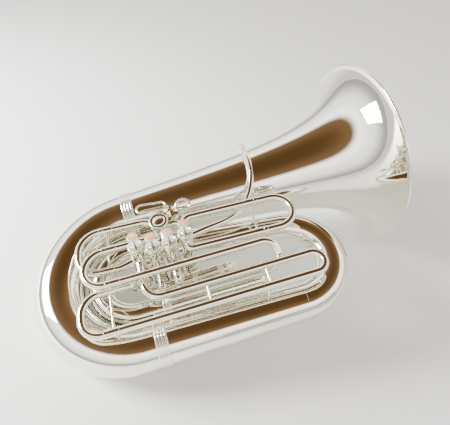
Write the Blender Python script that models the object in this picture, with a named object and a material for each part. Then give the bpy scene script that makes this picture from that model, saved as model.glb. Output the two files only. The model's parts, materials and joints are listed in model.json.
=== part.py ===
"""A concert tuba with four front-action pistons and a thumb-operated rotary valve, lying on its back.

The body frame has its origin at the centre of the bottom bow. X runs along the body towards the
bell's mouth, Y runs across the body towards the bell stack, and Z points out of the front of the
instrument, where the slides and the finger buttons are. The empty "body_frame" turns that frame
into the resting pose and puts the origin under the middle of the instrument.
"""

import math

import bpy
from mathutils import Matrix, Vector

CM = 0.01
GAP = 0.0003

# Resting pose: the instrument lies on the bell's rim and on the side of the bottom bow.
REST_ROLL = math.radians(7.127)
REST_PITCH = math.radians(-12.065)
REST_SHIFT = Vector((-0.24025, -0.11866, 0.09855))

# Bell: the radius falls off as a power of the distance from the rim.
BELL_RADIUS = 0.254
BELL_FLARE_LENGTH = 0.0414
BELL_FLARE_POWER = 0.46
BELL_RIM = Vector((0.6768, 0.2126, -0.0184))
BELL_WALL = 0.0008
RIM_BEAD = 0.0032

# Bows and branches of the conical body tube, from the bell back to the tuning slide.
BOTTOM_BOW_BEND = 0.1763
BOTTOM_BOW_R = (0.0683, 0.0494)
OUTER_BRANCH_END = Vector((0.3578, -0.1779, 0.0))
OUTER_BRANCH_R = 0.0398
TOP_BOW_BEND = 0.102
TOP_BOW_R = 0.0320
INNER_BOW_BEND = 0.084
INNER_BOW_CENTRE = Vector((0.0, -0.012, 0.0))
SECOND_BRANCH_R = 0.0285
THIRD_BRANCH_Y = -0.096
INNER_BOW_R = 0.0250
BODY_WALL = 0.0008
GUARD_WALL = 0.0012
BELL_JOINT = 0.013
TOP_JOINT = 0.006
OUTER_JOINT_X = 0.039
THIRD_JOINT_X = 0.062

# Main tuning slide, with both legs in one upright plane under the third branch.
THIRD_BRANCH_R = 0.0205
MAIN_SLIDE_LEG_R = 0.0182
MAIN_SLIDE_BORE_R = 0.0187
MAIN_SLIDE_TOP_Z = 0.0
MAIN_SLIDE_DROP = 0.052
MAIN_SLIDE_MOUTH_X = 0.235

# Cylindrical valve tubing.
TUBE_R = 0.0088
TUBE_WALL = 0.0008
SLEEVE_BORE_R = 0.0082
LEG_R = 0.0078
FERRULE_R = 0.0097
FERRULE_LENGTH = 0.009
SLEEVE_COLLAR_LENGTH = 0.022
STAY_SINK = 0.0004

# Pistons. Heights are along the casing's axis, from the casing's lower edge.
VALVE_LEAN = Vector((0.05, 0.17, 1.0)).normalized()
VALVE_TOP_Z = 0.113
VALVE_TOPS = ((0.1413, 0.0068), (0.1041, -0.0056), (0.0670, -0.0056), (0.0298, 0.0066))
CASING_LENGTH = 0.120
CASING_R = 0.0158
CASING_BORE_R = 0.0141
TUBE_STOP = 0.0105
CAP_R = 0.0176
CAP_SKIRT = 0.006
CAP_TOP = 0.0052
PISTON_R = 0.01365
PISTON_WALL = 0.0016
PISTON_FOOT = 0.040
PISTON_HEAD = 0.104
STEM_R = 0.0030
STEM_HOLE_R = 0.0036
STEM_END = 0.1465
PORT_R = 0.0080
KNUCKLE_Z = (0.066, 0.034, 0.056)
BUTTON_R = 0.0122
BUTTON_HEIGHT = 0.0065
SPRING_R = 0.0108
SPRING_WIRE_R = 0.0007
SPRING_TURNS = 4

# Rotary valve and its thumb lever: a planar linkage in the body frame's XY plane.
ROTOR_AXIS = Vector((0.0887, 0.0770, 0.0))
ROTOR_CASING_R = 0.0200
ROTOR_BORE_R = 0.0180
ROTOR_CAP_R = 0.0230
ROTOR_Z = (0.052, 0.088)
ROTOR_ARM_RADIUS = 0.0139
ROTOR_ARM_Z = 0.0430
SPINDLE_R = 0.0032
LEVER_HINGE = Vector((0.1197, 0.1045, 0.0))
LEVER_ARM = 0.0420
LEVER_SWING = math.radians(27.0)
LEVER_Z = 0.0985
SHAFT_R = 0.0024
LINK_Z = 0.0370

# Heights of the slide loops above the body's middle plane.
FIRST_LOOP_Z = 0.092
THIRD_LOOP_Z = 0.094
FOURTH_LOOP_Z = 0.0748
FIFTH_LOOP_Z = 0.073
SECOND_LOOP_Z = (0.0615, 0.0395)

SIDES_BELL = 28
SIDES_BODY = 16
SIDES_BRANCH = 12
SIDES_TUBE = 8
SIDES_SMALL = 6
SIDES_VALVE = 12


# ---------------------------------------------------------------- scene and materials

def clear_scene():
    for obj in list(bpy.data.objects):
        bpy.data.objects.remove(obj, do_unlink=True)


def make_material(name, colour, roughness, metallic):
    material = bpy.data.materials.new(name)
    material.use_nodes = True
    shader = material.node_tree.nodes["Principled BSDF"]
    shader.inputs["Base Color"].default_value = (*colour, 1.0)
    shader.inputs["Roughness"].default_value = roughness
    shader.inputs["Metallic"].default_value = metallic
    material.diffuse_color = (*colour, 1.0)
    return material


clear_scene()
SILVER = make_material("silver_plate", (0.90, 0.89, 0.86), 0.06, 1.0)
STEEL = make_material("spring_steel", (0.55, 0.56, 0.58), 0.25, 1.0)
PEARL = make_material("pearl", (0.93, 0.85, 0.77), 0.22, 0.0)
MONEL = make_material("piston_metal", (0.70, 0.69, 0.66), 0.20, 1.0)

FRAME = bpy.data.objects.new("body_frame", None)
FRAME.rotation_euler = (REST_ROLL, REST_PITCH, 0.0)
FRAME.location = REST_SHIFT
bpy.context.scene.collection.objects.link(FRAME)


# ---------------------------------------------------------------- mesh helpers

def cm(x, y, z):
    """A point of the body frame, given in centimetres."""
    return Vector((x, y, z)) * CM


def add_object(name, mesh, material, origin=None, turn=None):
    """Puts a mesh under the body frame, with its origin at a point and an optional rotation."""
    obj = bpy.data.objects.new(name, mesh)
    obj.parent = FRAME
    if origin is not None:
        obj.location = origin
    if turn is not None:
        obj.rotation_mode = "QUATERNION"
        obj.rotation_quaternion = turn
    if not mesh.materials:
        mesh.materials.append(material)
    bpy.context.scene.collection.objects.link(obj)
    return obj


def make_mesh(name, verts, faces, origin=None):
    if origin is not None:
        verts = [Vector(v) - origin for v in verts]
    mesh = bpy.data.meshes.new(name)
    mesh.from_pydata([tuple(v) for v in verts], [], faces)
    mesh.update()
    mesh.shade_smooth()
    mesh.set_sharp_from_angle(angle=math.radians(40))
    return mesh


def join_solids(parts):
    """One vertex list and one face list from several separate solids."""
    verts, faces = [], []
    for part_verts, part_faces in parts:
        offset = len(verts)
        verts.extend(part_verts)
        faces.extend([tuple(i + offset for i in face) for face in part_faces])
    return verts, faces


def arc_points(corner, before, after, radius, step):
    """The fillet between two straight stretches that meet at a corner."""
    a = (before - corner).normalized()
    b = (after - corner).normalized()
    bend = math.pi - a.angle(b)
    if bend < math.radians(2):
        return [corner]
    reach = radius * math.tan(bend / 2)
    start = corner + a * reach
    normal = (a + b).normalized()
    centre = corner + normal * (radius / math.cos(bend / 2))
    axis = a.cross(b).normalized()
    count = max(2, round(bend / step))
    arm = start - centre
    return [centre + Matrix.Rotation(-bend * i / count, 3, axis) @ arm for i in range(count + 1)]


def rounded(corners, radii, step=math.radians(30)):
    """A path through corners, each rounded to its own radius. Each U-bend is two right angles."""
    path = [corners[0]]
    for i in range(1, len(corners) - 1):
        fillet = arc_points(corners[i], corners[i - 1], corners[i + 1], radii[i - 1], step)
        for point in fillet:
            if (point - path[-1]).length > 1e-6:
                path.append(point)
    if (corners[-1] - path[-1]).length > 1e-6:
        path.append(corners[-1])
    return path


def lengths_along(path):
    total = [0.0]
    for a, b in zip(path, path[1:]):
        total.append(total[-1] + (b - a).length)
    return total


def path_frames(path, up, closed=False):
    """A tangent, a normal and a binormal at each point, carried along without twist."""
    count = len(path)
    tangents = []
    for i in range(count):
        if closed:
            ahead, behind = path[(i + 1) % count] - path[i], path[i] - path[i - 1]
        else:
            ahead = path[min(i + 1, count - 1)] - path[min(i, count - 2)]
            behind = path[max(i, 1)] - path[max(i - 1, 0)]
        tangents.append((ahead.normalized() + behind.normalized()).normalized())
    normal = (up - tangents[0] * up.dot(tangents[0])).normalized()
    frames = []
    for i, tangent in enumerate(tangents):
        if i:
            turn = tangents[i - 1].rotation_difference(tangent)
            normal = turn @ normal
            normal = (normal - tangent * normal.dot(tangent)).normalized()
        frames.append((tangent, normal, tangent.cross(normal)))
    return frames


def radius_at(profile, s):
    for (s0, r0), (s1, r1) in zip(profile, profile[1:]):
        if s0 <= s <= s1:
            return r0 if s1 - s0 < 1e-9 else r0 + (r1 - r0) * (s - s0) / (s1 - s0)
    return profile[-1][1] if s > profile[-1][0] else profile[0][1]


def stations(path, frames, profile):
    """Ring centres, frames and radii: one at each path point and one at each step of the profile."""
    along = lengths_along(path)
    rings = []
    for i, s in enumerate(along):
        if not any(abs(s - step[0]) < 1e-5 for step in profile):
            rings.append((s, path[i], frames[i], radius_at(profile, s)))
    for s, r in profile:
        s = min(max(s, 0.0), along[-1])
        i = max(k for k in range(len(path) - 1) if along[k] <= s + 1e-9)
        part = (s - along[i]) / (along[i + 1] - along[i])
        here = path[i].lerp(path[i + 1], part)
        if part < 1e-4:
            frame = frames[i]
        elif part > 1 - 1e-4:
            frame = frames[i + 1]
        else:
            tangent = (path[i + 1] - path[i]).normalized()
            normal = frames[i][1]
            normal = (normal - tangent * normal.dot(tangent)).normalized()
            frame = (tangent, normal, tangent.cross(normal))
        rings.append((s, here, frame, r))
    rings.sort(key=lambda ring: ring[0])
    return rings


def ring_points(centre, frame, radius, sides):
    _, normal, binormal = frame
    turns = [2 * math.pi * k / sides for k in range(sides)]
    return [centre + (normal * math.cos(t) + binormal * math.sin(t)) * radius for t in turns]


def skin(count, sides, first=0, flip=False):
    """Quads between rings of points that follow each other."""
    faces = []
    for i in range(count - 1):
        for k in range(sides):
            a = first + i * sides + k
            b = first + i * sides + (k + 1) % sides
            quad = (a, b, b + sides, a + sides)
            faces.append(quad[::-1] if flip else quad)
    return faces


def tube_solid(path, outer, inner, sides=SIDES_TUBE, up=Vector((0, 0, 1))):
    """A pipe along a path. outer and inner are profiles of (distance along the path, radius)."""
    frames = path_frames(path, up)
    verts, counts = [], []
    for profile in (outer, inner):
        rings = stations(path, frames, profile)
        counts.append(len(rings))
        for _, centre, frame, radius in rings:
            verts.extend(ring_points(centre, frame, radius, sides))
    start = counts[0] * sides
    faces = skin(counts[0], sides) + skin(counts[1], sides, start, flip=True)
    last_out, last_in = (counts[0] - 1) * sides, start + (counts[1] - 1) * sides
    for k in range(sides):
        j = (k + 1) % sides
        faces.append((k, start + k, start + j, j))
        faces.append((last_out + k, last_out + j, last_in + j, last_in + k))
    return verts, faces


def plain_tube(path, radius, wall=TUBE_WALL, sides=SIDES_TUBE, up=Vector((0, 0, 1))):
    """A pipe of one radius, or one that tapers from radius[0] to radius[1]."""
    start, end = radius if isinstance(radius, tuple) else (radius, radius)
    length = lengths_along(path)[-1]
    outer = [(0.0, start), (length, end)]
    inner = [(0.0, start - wall), (length, end - wall)]
    return tube_solid(path, outer, inner, sides, up)


def rod_solid(path, radius, sides=SIDES_SMALL, closed=False, up=Vector((0, 0, 1))):
    """A solid round bar along a path, or a ring where the path closes."""
    frames = path_frames(path, up, closed)
    verts = []
    for point, frame in zip(path, frames):
        verts.extend(ring_points(point, frame, radius, sides))
    faces = skin(len(path), sides)
    last = (len(path) - 1) * sides
    if closed:
        faces.extend((last + k, last + (k + 1) % sides, (k + 1) % sides, k) for k in range(sides))
    else:
        faces.append(tuple(range(sides))[::-1])
        faces.append(tuple(range(last, last + sides)))
    return verts, faces


def turned_solid(profile, sides):
    """Turns a closed outline of (radius, height) about Z. It runs up the outside and down the inside."""
    verts, rings = [], []
    for radius, height in profile:
        if radius < 1e-7:
            rings.append([len(verts)] * sides)
            verts.append(Vector((0.0, 0.0, height)))
            continue
        rings.append(list(range(len(verts), len(verts) + sides)))
        for k in range(sides):
            t = 2 * math.pi * k / sides
            verts.append(Vector((radius * math.cos(t), radius * math.sin(t), height)))
    faces = []
    for i in range(len(profile)):
        lower, upper = rings[i], rings[(i + 1) % len(profile)]
        for k in range(sides):
            j = (k + 1) % sides
            corners = dict.fromkeys((lower[k], lower[j], upper[j], upper[k]))
            if len(corners) > 2:
                faces.append(tuple(corners))
    return verts, faces


def plate_solid(outline, low, high):
    """A flat plate: an outline in the XY plane, extruded from one height to another."""
    verts = [Vector((x, y, low)) for x, y in outline] + [Vector((x, y, high)) for x, y in outline]
    count = len(outline)
    faces = [tuple(range(count))[::-1], tuple(range(count, 2 * count))]
    faces.extend((k, (k + 1) % count, count + (k + 1) % count, count + k) for k in range(count))
    return verts, faces


def circle(centre, radius, count=12, start=0.0, sweep=2 * math.pi):
    """Points round a circle, or along part of it, in the XY plane."""
    whole = abs(sweep - 2 * math.pi) < 1e-9
    steps = count if whole else count - 1
    turns = [start + sweep * k / steps for k in range(count)]
    return [(centre[0] + radius * math.cos(t), centre[1] + radius * math.sin(t)) for t in turns]


def add_solid(name, solid, material, origin=None):
    verts, faces = solid
    return add_object(name, make_mesh(name, verts, faces, origin), material, origin)


def make_cutter(name, solid, origin=None, turn=None):
    """A helper solid for a Boolean, left out of the model."""
    verts, faces = solid
    cutter = add_object(name, make_mesh(name, verts, faces), SILVER, origin, turn)
    cutter.hide_render = True
    cutter.display_type = "WIRE"
    return cutter


def boolean(obj, other, operation):
    modifier = obj.modifiers.new(other.name, "BOOLEAN")
    modifier.operation = operation
    modifier.solver = "EXACT"
    modifier.object = other


def cut(obj, *cutters):
    for cutter in cutters:
        boolean(obj, cutter, "DIFFERENCE")


# ---------------------------------------------------------------- conical body

def bell_axis():
    return (BELL_RIM - Vector((0.0, BOTTOM_BOW_BEND, 0.0))).normalized()


def bell_length():
    return (BELL_RIM - Vector((0.0, BOTTOM_BOW_BEND, 0.0))).length


def bell_radius(distance_from_rim):
    reach = (distance_from_rim + BELL_FLARE_LENGTH) / BELL_FLARE_LENGTH
    return BELL_RADIUS * reach ** -BELL_FLARE_POWER


def axis_turn(direction):
    """The rotation that takes +Z to a direction and keeps a vertex of each ring near the body's Z."""
    z = direction.normalized()
    x = (Vector((0, 0, 1)) - z * z.z).normalized()
    return Matrix((x, z.cross(x), z)).transposed().to_quaternion()


def build_bell():
    """The bell, from its joint with the bottom bow to the beaded rim."""
    distances = [0.006, 0.013, 0.024, 0.040, 0.064, 0.10, 0.16, 0.25, 0.40]
    length = bell_length()
    distances.append(length - BELL_JOINT)
    outer = [(bell_radius(d), length - d) for d in reversed(distances)]
    bead_r, bead_z = BELL_RADIUS - RIM_BEAD, length - RIM_BEAD * 0.4
    for degrees in (-60, 10, 90, 140):
        t = math.radians(degrees)
        outer.append((bead_r + RIM_BEAD * math.cos(t), bead_z + RIM_BEAD * math.sin(t)))
    inner = []
    for d in distances:
        slope = (bell_radius(d + 1e-4) - bell_radius(d - 1e-4)) / 2e-4
        across = 1 / math.sqrt(1 + slope * slope)
        inner.append((bell_radius(d) - BELL_WALL * across, length - d - BELL_WALL * slope * across))
    inner[-1] = (inner[-1][0], length - distances[-1])
    origin = Vector((0.0, BOTTOM_BOW_BEND, 0.0))
    verts, faces = turned_solid(outer + inner, SIDES_BELL)
    return add_object("bell", make_mesh("bell", verts, faces), SILVER, origin, axis_turn(bell_axis()))


def collar_outline(inner_r, outer_r, length, ridge):
    """A ferrule with a raised ring near each end."""
    quarter = length / 5
    outline = [(outer_r + ridge, 0.0), (outer_r + ridge, quarter), (outer_r, quarter)]
    outline += [(outer_r, length - quarter), (outer_r + ridge, length - quarter)]
    outline += [(outer_r + ridge, length), (inner_r, length), (inner_r, 0.0)]
    return outline


def ferrule_solid(origin, direction, tube_r, length, sides, ridge=0.0018):
    outline = collar_outline(tube_r + 0.0006, tube_r + 0.0016, length, ridge)
    verts, faces = turned_solid(outline, sides)
    turn = axis_turn(direction)
    return [origin + turn @ vert for vert in verts], faces


def build_body_ferrules():
    """Ring-edged collars over the joints at the bottom bow and on the third branch."""
    foot = Vector((0.0, BOTTOM_BOW_BEND, 0.0))
    along_x = Vector((1, 0, 0))
    joint_r = bell_radius(bell_length() - 0.030)
    add_solid("bell_ferrule", ferrule_solid(foot + bell_axis() * 0.001, bell_axis(), joint_r, 0.028,
                                            SIDES_BELL), SILVER)
    add_solid("bow_ferrule", ferrule_solid(Vector((0.026, -BOTTOM_BOW_BEND, 0.0)), along_x,
                                           BOTTOM_BOW_R[1] + 0.0008, 0.026, SIDES_BODY), SILVER)
    joint = Vector((THIRD_JOINT_X - 0.0094, THIRD_BRANCH_Y, 0.0))
    add_solid("branch_ferrule", ferrule_solid(joint, along_x, INNER_BOW_R, 0.020, SIDES_BRANCH, 0.0008),
              SILVER)


def bow_arc(centre, radius, start, sweep, count, z=0.0):
    """Points on an arc in the body's plane. Angles are in degrees, from +X towards +Y."""
    turns = [math.radians(start + sweep * k / count) for k in range(count + 1)]
    return [Vector((centre[0] + radius * math.cos(t), centre[1] + radius * math.sin(t), z))
            for t in turns]


def build_bottom_bow():
    arc = bow_arc((0.0, 0.0), BOTTOM_BOW_BEND, 90, 180, 12)
    path = [arc[0] + bell_axis() * (BELL_JOINT - GAP)] + arc
    path.append(Vector((OUTER_JOINT_X - 2 * GAP, -BOTTOM_BOW_BEND, 0.0)))
    joint_r = bell_radius(bell_length() - BELL_JOINT)
    solid = plain_tube(path, (joint_r, BOTTOM_BOW_R[1]), BODY_WALL, SIDES_BODY)
    return add_solid("bottom_bow", solid, SILVER)


def outer_branch_line():
    start = Vector((OUTER_JOINT_X, -BOTTOM_BOW_BEND, 0.0))
    return start, OUTER_BRANCH_END - Vector((TOP_JOINT, 0.0, 0.0))


def build_outer_branch():
    solid = plain_tube(list(outer_branch_line()), (BOTTOM_BOW_R[1], OUTER_BRANCH_R), BODY_WALL, SIDES_BODY)
    return add_solid("outer_branch", solid, SILVER)


def top_bow_centre():
    return OUTER_BRANCH_END.x, OUTER_BRANCH_END.y + TOP_BOW_BEND


def second_branch_head():
    x, y = top_bow_centre()
    return Vector((x, y + TOP_BOW_BEND, 0.0))


def top_bow_path():
    x, y = top_bow_centre()
    arc = bow_arc((x, y), TOP_BOW_BEND, -90, 180, 12)
    foot = arc[-1] + second_branch_direction() * 0.006
    return [arc[0] - Vector((TOP_JOINT - 2 * GAP, 0.0, 0.0))] + arc + [foot]


def build_top_bow():
    solid = plain_tube(top_bow_path(), (OUTER_BRANCH_R, TOP_BOW_R), BODY_WALL, SIDES_BODY)
    return add_solid("top_bow", solid, SILVER)


def inner_bow_start():
    """Angle, in degrees, at which the second branch meets the inner bow's centreline as a tangent."""
    reach = second_branch_head() - INNER_BOW_CENTRE
    return math.degrees(math.atan2(reach.y, reach.x) + math.acos(INNER_BOW_BEND / reach.length))


def second_branch_direction():
    """From the top bow down to the inner bow."""
    t = math.radians(inner_bow_start())
    return Vector((-math.sin(t), math.cos(t), 0.0))


def build_second_branch():
    along = second_branch_direction()
    start = inner_bow_arc()[0]
    head = second_branch_head() + along * (0.006 + GAP)
    foot = start - along * (0.006 + GAP)
    solid = plain_tube([head, foot], (TOP_BOW_R, SECOND_BRANCH_R), BODY_WALL, SIDES_BRANCH)
    return add_solid("second_branch", solid, SILVER)


def inner_bow_arc():
    start = inner_bow_start()
    return bow_arc(INNER_BOW_CENTRE, INNER_BOW_BEND, start, 270 - start, 10)


def build_inner_bow():
    """The small bottom bow, nested inside the big one."""
    arc = inner_bow_arc()
    path = [arc[0] - second_branch_direction() * 0.006] + arc
    path.append(Vector((THIRD_JOINT_X - GAP, THIRD_BRANCH_Y, 0.0)))
    solid = plain_tube(path, (SECOND_BRANCH_R, INNER_BOW_R), BODY_WALL, SIDES_BRANCH)
    return add_solid("inner_bow", solid, SILVER)


def build_third_branch():
    """The third branch, which ends in the upper sleeve of the main tuning slide."""
    mouth = MAIN_SLIDE_MOUTH_X
    path = [Vector((THIRD_JOINT_X, THIRD_BRANCH_Y, 0.0)), Vector((mouth, THIRD_BRANCH_Y, 0.0))]
    length = mouth - THIRD_JOINT_X
    sleeve = length - 0.085
    bore = MAIN_SLIDE_BORE_R
    outer = [(0.0, INNER_BOW_R), (sleeve, THIRD_BRANCH_R), (length - 0.02, THIRD_BRANCH_R)]
    outer += [(length - 0.02, THIRD_BRANCH_R + 0.001), (length, THIRD_BRANCH_R + 0.001)]
    inner = [(0.0, INNER_BOW_R - BODY_WALL), (sleeve, THIRD_BRANCH_R - 0.0012)]
    inner += [(sleeve, bore), (length, bore)]
    solid = tube_solid(path, outer, inner, SIDES_BRANCH, Vector((0, 1, 0)))
    return add_solid("third_branch", solid, SILVER)


def build_main_slide():
    """The main tuning slide: a U-bow with a leg in each sleeve. It draws out along +X."""
    low_z = MAIN_SLIDE_TOP_Z - MAIN_SLIDE_DROP
    bend = MAIN_SLIDE_DROP / 2
    inside, bow_x = MAIN_SLIDE_MOUTH_X - 0.080, MAIN_SLIDE_MOUTH_X + 0.030
    corners = [Vector((x, THIRD_BRANCH_Y, z)) for x, z in (
        (inside, 0.0), (bow_x + bend, 0.0), (bow_x + bend, low_z), (inside, low_z))]
    path = rounded(corners, (bend, bend))
    total = lengths_along(path)[-1]
    leg = 0.080 + GAP
    ring, body = THIRD_BRANCH_R + 0.001, THIRD_BRANCH_R - 0.0008
    half = [(0.0, MAIN_SLIDE_LEG_R), (leg, MAIN_SLIDE_LEG_R), (leg, ring)]
    half += [(leg + 0.012, ring), (leg + 0.012, body)]
    outer = half + [(total - s, r) for s, r in reversed(half)]
    inner = [(0.0, MAIN_SLIDE_LEG_R - 0.0009), (total, MAIN_SLIDE_LEG_R - 0.0009)]
    solid = tube_solid(path, outer, inner, SIDES_BRANCH, Vector((0, 1, 0)))
    origin = Vector((MAIN_SLIDE_MOUTH_X, THIRD_BRANCH_Y, 0.0))
    return add_solid("main_tuning_slide", solid, SILVER, origin)


def build_return_branch(cutters):
    """From the lower sleeve of the main slide, round under the valves and back up to valve four."""
    low_z = MAIN_SLIDE_TOP_Z - MAIN_SLIDE_DROP
    corners = [
        Vector((MAIN_SLIDE_MOUTH_X, THIRD_BRANCH_Y, low_z)),
        Vector((0.075, THIRD_BRANCH_Y, low_z)),
        Vector((0.075, -0.047, low_z)),
        Vector((0.229, -0.047, low_z)),
        Vector((0.229, -0.047, 0.014)),
        Vector((0.0265, -0.058, 0.014)),
    ]
    corners.append(into_casing(3, 0.012, corners[-1]))
    path = rounded(corners, (0.026, 0.026, 0.030, 0.030, 0.016))
    total = lengths_along(path)[-1]
    bore = MAIN_SLIDE_BORE_R
    outer = [(0.0, THIRD_BRANCH_R + 0.001), (0.02, THIRD_BRANCH_R + 0.001), (0.02, THIRD_BRANCH_R)]
    outer += [(0.095, THIRD_BRANCH_R), (0.13, 0.0170), (total * 0.55, 0.0145)]
    outer += [(total - 0.10, 0.0145), (total - 0.045, TUBE_R), (total, TUBE_R)]
    inner = [(0.0, bore), (0.090, bore), (0.13, 0.0160), (total * 0.55, 0.0136)]
    inner += [(total - 0.10, 0.0136), (total - 0.045, 0.0087), (total, 0.0087)]
    solid = tube_solid(path, outer, inner, SIDES_BRANCH, Vector((0, 1, 0)))
    branch = add_solid("return_branch", solid, SILVER)
    cut(branch, cutters[3])
    return branch


def shell_solid(path, radii, sides, first, last, thickness):
    """A curved plate that follows part of a tube's surface, from one of its sides to another."""
    frames = path_frames(path, Vector((0, 0, 1)))
    across = last - first + 1
    verts = []
    for point, frame, radius in zip(path, frames, radii):
        lower = ring_points(point, frame, radius, sides)[first:last + 1]
        upper = ring_points(point, frame, radius + thickness, sides)[first:last + 1]
        verts.extend(lower + upper[::-1])
    ring = 2 * across
    faces = skin(len(path), ring)
    end = (len(path) - 1) * ring
    faces.append(tuple(range(ring))[::-1])
    faces.append(tuple(range(end, end + ring)))
    return verts, [face[::-1] for face in faces]


def build_guards():
    """Wear plates on the outer side of the outer branch and round the top bow."""
    head, foot = outer_branch_line()
    lift = 2 * GAP
    arc = top_bow_path()
    bow_length = lengths_along(arc)
    fall = (OUTER_BRANCH_R - TOP_BOW_R) / bow_length[-1]
    bow_radii = [OUTER_BRANCH_R - fall * s + lift for s in bow_length]
    part = (0.159 - OUTER_JOINT_X) / (foot.x - OUTER_JOINT_X)
    start_r = BOTTOM_BOW_R[1] + (OUTER_BRANCH_R - BOTTOM_BOW_R[1]) * part + lift
    path = [head.lerp(foot, part)] + arc[:4]
    plate = shell_solid(path, [start_r] + bow_radii[:4], SIDES_BODY, 2, 6, GUARD_WALL)
    add_solid("branch_guard", plate, SILVER)
    plate = shell_solid(arc[6:12], bow_radii[6:12], SIDES_BODY, 3, 5, GUARD_WALL)
    add_solid("top_bow_guard", plate, SILVER)


# ---------------------------------------------------------------- piston valves

def casing_point(valve, z):
    """The point of a casing's axis at a height of the body frame. Valves count from 0."""
    x, y = VALVE_TOPS[valve]
    return Vector((x, y, VALVE_TOP_Z)) + VALVE_LEAN * ((z - VALVE_TOP_Z) / VALVE_LEAN.z)


def into_casing(valve, z, before):
    """Where a tube that comes from a point stops, just inside a casing's wall."""
    centre = casing_point(valve, z)
    return centre + (before - centre).normalized() * TUBE_STOP


def valve_foot(valve):
    x, y = VALVE_TOPS[valve]
    return Vector((x, y, VALVE_TOP_Z)) - VALVE_LEAN * CASING_LENGTH


def spring_mesh():
    """A coil between the piston's foot and the bottom cap."""
    low, high = 0.0002, PISTON_FOOT - 0.0005
    steps = SPRING_TURNS * 8
    path = []
    for k in range(steps + 1):
        t = 2 * math.pi * k / 8
        height = low + SPRING_WIRE_R + (high - low - 2 * SPRING_WIRE_R) * k / steps
        path.append(Vector((SPRING_R * math.cos(t), SPRING_R * math.sin(t), height)))
    verts, faces = rod_solid(path, SPRING_WIRE_R, 4)
    return make_mesh("piston_spring", verts, faces)


def valve_profiles():
    """Closed outlines of the turned pieces of one piston valve."""
    top, bore = CASING_LENGTH, PISTON_R - PISTON_WALL
    rim, skirt = CAP_R - 0.0012, CASING_R + GAP + 0.0001
    casing = [(CASING_R, 0.0), (CASING_R, top), (CASING_BORE_R, top), (CASING_BORE_R, 0.0)]
    top_cap = [(CAP_R, top - CAP_SKIRT), (CAP_R, top + 0.0030), (rim, top + CAP_TOP),
               (STEM_HOLE_R + 0.003, top + CAP_TOP + 0.0008), (STEM_HOLE_R, top + CAP_TOP + 0.0008),
               (STEM_HOLE_R, top + GAP), (skirt, top + GAP), (skirt, top - CAP_SKIRT)]
    bottom_cap = [(0.003, -0.0080), (rim - 0.003, -0.0080), (rim, -0.0065), (CAP_R, -0.0050),
                  (CAP_R, 0.0055), (skirt, 0.0055), (skirt, -GAP), (0.003, -GAP)]
    piston = [(PISTON_R, PISTON_FOOT), (PISTON_R, PISTON_HEAD), (STEM_R + 0.002, PISTON_HEAD + 0.001),
              (STEM_R, PISTON_HEAD + 0.003), (STEM_R, STEM_END), (0.0, STEM_END),
              (0.0, PISTON_HEAD - 0.003), (bore, PISTON_HEAD - 0.003), (bore, PISTON_FOOT)]
    base = STEM_END + GAP
    button = [(0.0, base), (0.005, base), (BUTTON_R - 0.0012, base + 0.0022), (BUTTON_R, base + 0.0032),
              (BUTTON_R, base + BUTTON_HEIGHT - 0.0010), (BUTTON_R - 0.0014, base + BUTTON_HEIGHT),
              (0.0, base + BUTTON_HEIGHT)]
    return {"valve_casing": casing, "top_cap": top_cap, "bottom_cap": bottom_cap,
            "piston": piston, "finger_button": button}


def build_valves():
    """Four piston valves. It returns the clearance cutters round the casings."""
    turn = axis_turn(VALVE_LEAN)
    materials = {"valve_casing": SILVER, "top_cap": SILVER, "bottom_cap": SILVER,
                 "piston": MONEL, "finger_button": PEARL}
    profiles = valve_profiles()
    meshes = {key: make_mesh(key, *turned_solid(profiles[key], SIDES_VALVE)) for key in materials}
    spring = spring_mesh()
    clearance = turned_solid([(CASING_R + GAP, -0.004), (CASING_R + GAP, CASING_LENGTH + 0.004),
                              (0.0, CASING_LENGTH + 0.004), (0.0, -0.004)], SIDES_VALVE)
    cutters = []
    casings = []
    for valve in range(4):
        foot = valve_foot(valve)
        for key, mesh in meshes.items():
            obj = add_object(f"{key}_{valve + 1}", mesh, materials[key], foot, turn)
            if key == "valve_casing":
                casings.append(obj)
            if key != "piston":
                continue
            for number, height in enumerate((0.056, 0.078)):
                aside = Matrix.Rotation(math.radians(90 * number), 3, VALVE_LEAN) @ (turn @ Vector((1, 0, 0)))
                centre = foot + VALVE_LEAN * height
                path = [centre - aside * 0.03, centre + aside * 0.03]
                bore = make_cutter(f"port_bore_{valve + 1}_{number}", rod_solid(path, PORT_R, 8))
                cut(obj, bore)
        add_object(f"piston_spring_{valve + 1}", spring, STEEL, foot, turn)
        cutters.append(make_cutter(f"casing_clearance_{valve + 1}", clearance, foot, turn))
    bore = turned_solid([(CASING_BORE_R + 0.00005, -0.004), (CASING_BORE_R + 0.00005, CASING_LENGTH + 0.004),
                         (0.0, CASING_LENGTH + 0.004), (0.0, -0.004)], SIDES_VALVE)
    for valve, z in enumerate(KNUCKLE_Z):
        path = [into_casing(valve, z, casing_point(valve + 1, z)),
                into_casing(valve + 1, z, casing_point(valve, z))]
        knuckle = make_cutter(f"knuckle_{valve + 1}", plain_tube(path, TUBE_R - 0.0005))
        boolean(casings[valve], knuckle, "UNION")
        open_bore = make_cutter(f"casing_bore_{valve + 1}", bore, valve_foot(valve), turn)
        cut(casings[valve], open_bore, cutters[valve + 1])
    return cutters


# ---------------------------------------------------------------- valve slides

def join_with(obj, name, *solids):
    """Soldered pieces made one body with an object."""
    for number, solid in enumerate(solids):
        boolean(obj, make_cutter(f"{name}_piece_{number}", solid), "UNION")


def stay(a, b, trim_a=FERRULE_R, trim_b=None, radius=0.0028):
    """A round stay between two tube axes. It sinks a little into the walls it is soldered to."""
    along = (b - a).normalized()
    trim_b = trim_a if trim_b is None else trim_b
    up = Vector((1, 0, 0)) if abs(along.x) < 0.9 else Vector((0, 0, 1))
    return rod_solid([a + along * (trim_a - STAY_SINK), b - along * (trim_b - STAY_SINK)], radius, up=up)


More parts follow.
